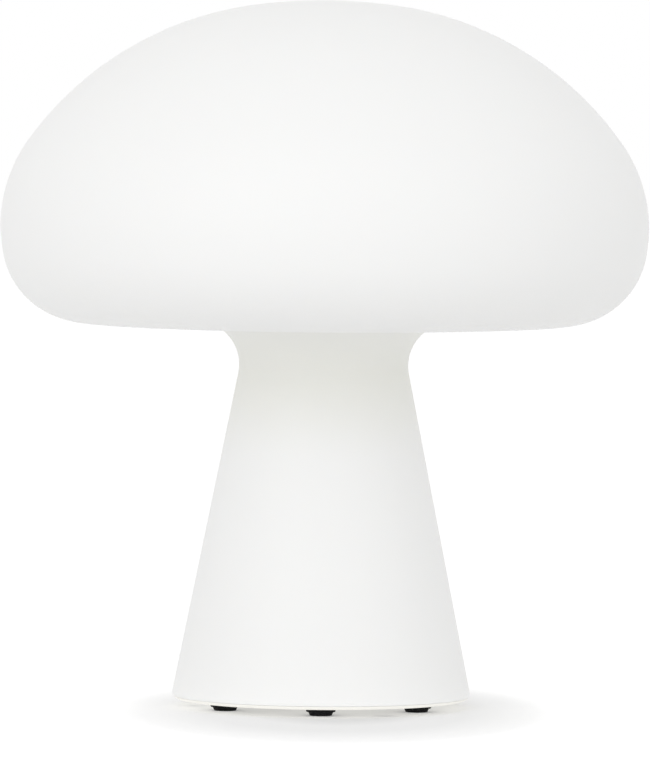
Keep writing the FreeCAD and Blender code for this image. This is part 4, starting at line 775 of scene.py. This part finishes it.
def cross_recess(name, wide, deep, thick, level):
    """Two tapered blades that cross, pointing up from the level."""
    work = bmesh.new()
    for turned in (0, QUARTER_TURN):
        corners = []
        for z, x, y in ((-BLADE_START, wide, thick), (deep, wide * TIP_WIDTH, thick * TIP_THICKNESS)):
            places = ((-x, -y), (x, -y), (x, y), (-x, y))
            corners += [work.verts.new((*place, level + z)) for place in places]
        bmesh.ops.rotate(work, verts=corners, cent=(0, 0, 0), matrix=Matrix.Rotation(turned, 3, "Z"))
        low, high = corners[:4], corners[4:]
        for index in range(4):
            work.faces.new((low[index], low[(index + 1) % 4], high[(index + 1) % 4], high[index]))
        work.faces.new(low)
        work.faces.new(high)
    bmesh.ops.recalc_face_normals(work, faces=work.faces)
    mesh = bpy.data.meshes.new(name)
    work.to_mesh(mesh)
    work.free()
    return add(name, mesh)


print("a blade's tip is", TIP_WIDTH, "as wide and", TIP_THICKNESS, "as thick as its start")

# %% Turn, cut and repeat a screw
HEAD, HEAD_TALL, HEAD_ROUND, HEAD_EDGE, CORE = 2.8 * MM, 2.0 * MM, 0.6 * MM, 0.15 * MM, 1.245 * MM
BLADE_WIDTH, BLADE_DEPTH, BLADE_THICKNESS = HEAD * 0.55, HEAD_TALL * 0.6, 0.35 * MM
SCREW_CIRCLE, SCREW_COUNT, FIRST_SCREW = 44.6 * MM, 3, 60
screw_low, screw_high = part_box("cover_screws")
bearing = screw_low.z + HEAD_TALL
screw_outline = [
    (0, screw_low.z),
    *rounded(HEAD - HEAD_ROUND, screw_low.z + HEAD_ROUND, HEAD_ROUND, -90),
    (HEAD, bearing - HEAD_EDGE),
    (HEAD - HEAD_EDGE, bearing),
    (CORE, bearing),
    (CORE, screw_high.z - CORE),
    (0, screw_high.z),
]
one_screw = turn("one_screw", screw_outline, SMALL_COLUMNS, finishes["steel"])
cut(one_screw, cross_recess("blades", BLADE_WIDTH, BLADE_DEPTH, BLADE_THICKNESS, screw_low.z), crossed=True)
screws = repeat("cover_fixing_screws", one_screw, SCREW_COUNT, SCREW_CIRCLE, FIRST_SCREW, finishes["steel"])
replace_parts(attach(screws, "lamp"), "cover_screws")

# %% [markdown]
# ## A white floor that keeps a shadow
# The product stands on white, with nothing but a soft contact shadow. Under a plain level of light a white
# floor renders pale grey, and more light would burn out the lamp. So the floor gets a glow of its own.
# Light Path tells which rays show the background: those from the camera, and those that leave gloss or
# glass. Only they meet the full glow, and the light that the floor sends up to the lamp stays moderate.

# %% Tell the rays apart
BACKGROUND_RAYS = ("Is Camera Ray", "Is Glossy Ray", "Is Transmission Ray")


def shows_white(tree):
    """1 for rays on which the background shows: from the camera, and through gloss or glass."""
    path = node(tree, "ShaderNodeLightPath")
    total = path.outputs[BACKGROUND_RAYS[0]]
    for name in BACKGROUND_RAYS[1:]:
        total = maths(tree, "MAXIMUM", total, path.outputs[name])
    return total


print("white shows on", BACKGROUND_RAYS)

# %% The floor plane
FLOOR_SIZE, FLOOR_ALBEDO = 12.0, 0.8
half = FLOOR_SIZE / 2
floor_mesh = bpy.data.meshes.new("floor")
floor_corners = [(-half, -half, 0), (half, -half, 0), (half, half, 0), (-half, half, 0)]
floor_mesh.from_pydata(floor_corners, [], [(0, 1, 2, 3)])
floor = add("floor", floor_mesh)
floor_finish = bpy.data.materials.new("white_floor")
floor_finish.use_nodes = True
floor_mesh.materials.append(floor_finish)
tree = floor_finish.node_tree
tree.nodes.clear()
matt = node(tree, "ShaderNodeBsdfDiffuse", ("Color", (FLOOR_ALBEDO, FLOOR_ALBEDO, FLOOR_ALBEDO, 1)))
place = node(tree, "ShaderNodeTexCoord").outputs["Object"]
print("floor:", FLOOR_SIZE, "m square, albedo", FLOOR_ALBEDO)

# %% [markdown]
# ## The soft shadow round the base
# The photo's shadow is a soft spot, longer from back to front than from side to side. The lamps throw a
# fainter one, so the glow is held back in such a spot: the distance from its middle, shortened along Y by
# a Mapping node, runs through a colour ramp that is dark near the lamp and levels off outside.

# %% Hold the glow back in a stretched spot
SPOT_X, SPOT_Y, SPOT_STRETCH, SPOT_REACH = 5 * MM, -25 * MM, 1.83, 90 * MM
GLOW_STOPS = {0.22: 0.0, 0.35: 0.11, 0.5: 0.12, 0.6: 0.17, 0.76: 0.25, 0.92: 0.4}
spot = node(
    tree, "ShaderNodeMapping", ("Vector", place), ("Location", (-SPOT_X, -SPOT_Y / SPOT_STRETCH, 0)),
    ("Scale", (1, 1 / SPOT_STRETCH, 1)),
)
share = maths(tree, "DIVIDE", length(tree, spot.outputs[0]), SPOT_REACH)
open_glow = node(tree, "ShaderNodeValToRGB", ("Fac", share))
stops = open_glow.color_ramp.elements
while len(stops) < len(GLOW_STOPS):
    stops.new(0.5)
for stop, (position, strength) in zip(stops, GLOW_STOPS.items()):
    stop.position, stop.color = position, (strength, strength, strength, 1)
print("the glow rises to", max(GLOW_STOPS.values()), "in", len(stops), "stops")

# %% [markdown]
# ## Light under and beside the base
# Close to the lamp the spot alone is too dark. An Ambient Occlusion node measures how much of the open sky
# the lamp hides from a place on the floor, within 30 mm: 1 is open and 0 is shut in. Where it is low, under
# the base, some glow comes back. Left and right, close to the base, the photo's floor is lighter still, and
# there the glow grows with the distance from the shadow's middle. A mask along Y keeps this light, and the
# ring of the next step, to the front half, so that views from behind keep their contact shadow.

# %% Light under and beside the base
CONTACT_REACH, OCCLUSION_SAMPLES = 30 * MM, 4
UNDER_GLOW, UNDER_TO = 0.25, 0.42
SIDE_GLOW, SIDE_FROM, SIDE_TO, SIDE_OPEN = 0.15, 31.5 * MM, 53.5 * MM, 0.6
FRONT_FROM, FRONT_TO = 0.0, 35 * MM
near = node(
    tree, "ShaderNodeAmbientOcclusion", ("Distance", CONTACT_REACH), samples=OCCLUSION_SAMPLES
).outputs["AO"]
under = remap(tree, near, 0.0, UNDER_TO, UNDER_GLOW, 0.0)
split = node(tree, "ShaderNodeSeparateXYZ", ("Vector", place))
front = remap(tree, split.outputs["Y"], FRONT_FROM, FRONT_TO, 1.0, 0.0)
aside = maths(tree, "ABSOLUTE", maths(tree, "SUBTRACT", split.outputs["X"], SPOT_X))
side = remap(tree, near, 0.0, SIDE_OPEN, remap(tree, aside, SIDE_FROM, SIDE_TO, 0.0, SIDE_GLOW), 0.0)
side = maths(tree, "MULTIPLY", side, front)
print("glow under the base", UNDER_GLOW, "and beside it", SIDE_GLOW)

# %% [markdown]
# ## Light that bounces up
# What the floor sends up to the lamp can be set apart from what the camera sees of it. A low level all over
# keeps the cap's underside and the stem as bright as in the photo. Near the base it is raised, and once
# more in a narrow ring in front, which lights the lip under the seam without lighting the stem above it.

# %% The bounce, with a ring for the lip
BOUNCE, NEAR_BOUNCE = 0.1, 0.25
RING_BOUNCE, RING_FROM, RING_FULL, RING_TO = 0.27, 48 * MM, 53 * MM, 62 * MM
bounce = remap(tree, near, 0.0, 1.0, BOUNCE + NEAR_BOUNCE, BOUNCE)
from_axis = length(tree, place)
rising = remap(tree, from_axis, RING_FROM, RING_FULL, 0.0, 1.0)
falling = remap(tree, from_axis, RING_FULL, RING_TO, RING_BOUNCE, 0.0)
lip_light = maths(tree, "MULTIPLY", maths(tree, "MULTIPLY", rising, falling), front)
bounce = maths(tree, "ADD", bounce, lip_light)
print("bounce:", BOUNCE, "all over,", NEAR_BOUNCE, "more near the base,", RING_BOUNCE, "more in the ring")

# %% [markdown]
# ## The floor's finish, clear from below
# The parts are put together: rays that show the background take the spot's glow, and all others the bounce.
# Under the base the under-glow counts where it is larger, and the light beside the base is added for all.
# Seen from below, the floor is clear for the camera, so that the lamp's underside can be looked at. It
# still sends its light up, so nothing changes on the lamp.

# %% Put the floor's finish together
level = mixed(tree, shows_white(tree), bounce, open_glow.outputs[0], kind="FLOAT")
glow = maths(tree, "ADD", maths(tree, "MAXIMUM", under, level), side)
lit = node(tree, "ShaderNodeEmission", ("Color", (1, 1, 1, 1)), ("Strength", glow))
both = node(tree, "ShaderNodeAddShader", (0, matt.outputs[0]), (1, lit.outputs[0]))
backfacing = node(tree, "ShaderNodeNewGeometry").outputs["Backfacing"]
from_camera = node(tree, "ShaderNodeLightPath").outputs["Is Camera Ray"]
below = maths(tree, "MULTIPLY", backfacing, from_camera)
clear = node(tree, "ShaderNodeBsdfTransparent")
shown = node(tree, "ShaderNodeMixShader", (0, below), (1, both.outputs[0]), (2, clear.outputs[0]))
node(tree, "ShaderNodeOutputMaterial", ("Surface", shown.outputs[0]))
print("floor finish:", len(tree.nodes), "nodes")

# %% [markdown]
# ## The surroundings
# White surroundings light the lamp evenly, like the inside of a light tent. Their level was found together
# with those of the three lamps that follow. Where the surroundings themselves show, they are plain white.

# %% Surround the lamp with white
AMBIENT = 0.81
world = bpy.data.worlds.new("studio")
bpy.context.scene.world = world
world.use_nodes = True
tree = world.node_tree
tree.nodes.clear()
level = remap(tree, shows_white(tree), 0.0, 1.0, AMBIENT, 1.0)
sky = node(tree, "ShaderNodeBackground", ("Color", (1, 1, 1, 1)), ("Strength", level))
node(tree, "ShaderNodeOutputWorld", ("Surface", sky.outputs[0]))
print("surroundings at", AMBIENT)

# %% [markdown]
# ## Three soft lamps
# Even light alone makes a dome look like a flat disc. Three large soft lamps give it form: a key from the
# left and front, a weaker fill from the right, and one from high up in front. Their strengths were found by
# rendering, comparing tones at the same places of photo and render, and changing one lamp at a time. Large
# lamps far off leave no hard edges on the shell and only a faint shadow on the floor.

# %% The lamps
LAMP_SIZE, MIDDLE = 1.6, (0, 0, 0.13)
LAMPS = {"key": ((-1.4, -2.2, 1.0), 9.5), "fill": ((1.4, -2.2, 1.0), 4.2), "high": ((0, -2.0, 2.1), 4.3)}


def soft_lamp(name, place, watts):
    """A square area lamp that looks at the middle of the table lamp."""
    light = bpy.data.lights.new(name, "AREA")
    light.shape, light.size, light.energy = "SQUARE", LAMP_SIZE, watts
    facing = (Vector(MIDDLE) - Vector(place)).to_track_quat("-Z", "Y")
    add(name, light).matrix_world = Matrix.Translation(place) @ facing.to_matrix().to_4x4()


for name, (place, watts) in LAMPS.items():
    soft_lamp(name, place, watts)
print("lamps:", {name: watts for name, (place, watts) in LAMPS.items()})

# %% [markdown]
# ## The camera
# The photograph was taken from far away with a long lens: the lamp's underside hardly shows, and its sides
# stay parallel. The distance, height and tilt were worked out from how the cap, the base and the feet
# line up. The lens follows from the lamp's size in the frame of 650 by 768 points.

# %% Place the camera
FRAME_WIDE, FRAME_TALL = 650, 768
SENSOR = 36.0
DISTANCE, CAMERA_HEIGHT, AIM_HEIGHT = 3.300, 0.256, 0.113
FOCAL_POINTS = 9475.0
ROLL = 0.473
AIM_ACROSS, AIM_DOWN = 323.49, 383.55

camera_data = bpy.data.cameras.new("camera")
camera_data.sensor_fit, camera_data.sensor_height, camera_data.sensor_width = "VERTICAL", SENSOR, SENSOR
camera_data.lens = FOCAL_POINTS / FRAME_TALL * SENSOR
camera_data.shift_x = (FRAME_WIDE / 2 - AIM_ACROSS) / FRAME_TALL
camera_data.shift_y = (AIM_DOWN - FRAME_TALL / 2) / FRAME_TALL
camera_data.clip_end = 100
camera = add("camera", camera_data)
tilt = math.atan2(CAMERA_HEIGHT - AIM_HEIGHT, DISTANCE)
camera.matrix_world = (
    Matrix.Translation((0, -DISTANCE, CAMERA_HEIGHT))
    @ Matrix.Rotation(QUARTER_TURN - tilt, 4, "X")
    @ Matrix.Rotation(math.radians(ROLL), 4, "Z")
)
bpy.context.scene.camera = camera
print("lens", round(camera_data.lens), "mm, tilt", round(math.degrees(tilt), 2), "degrees")

# %% [markdown]
# ## Finish
# The colours go to the screen as they are, without a film look.

# %% Set the view transform
bpy.context.scene.view_settings.view_transform = "Standard"
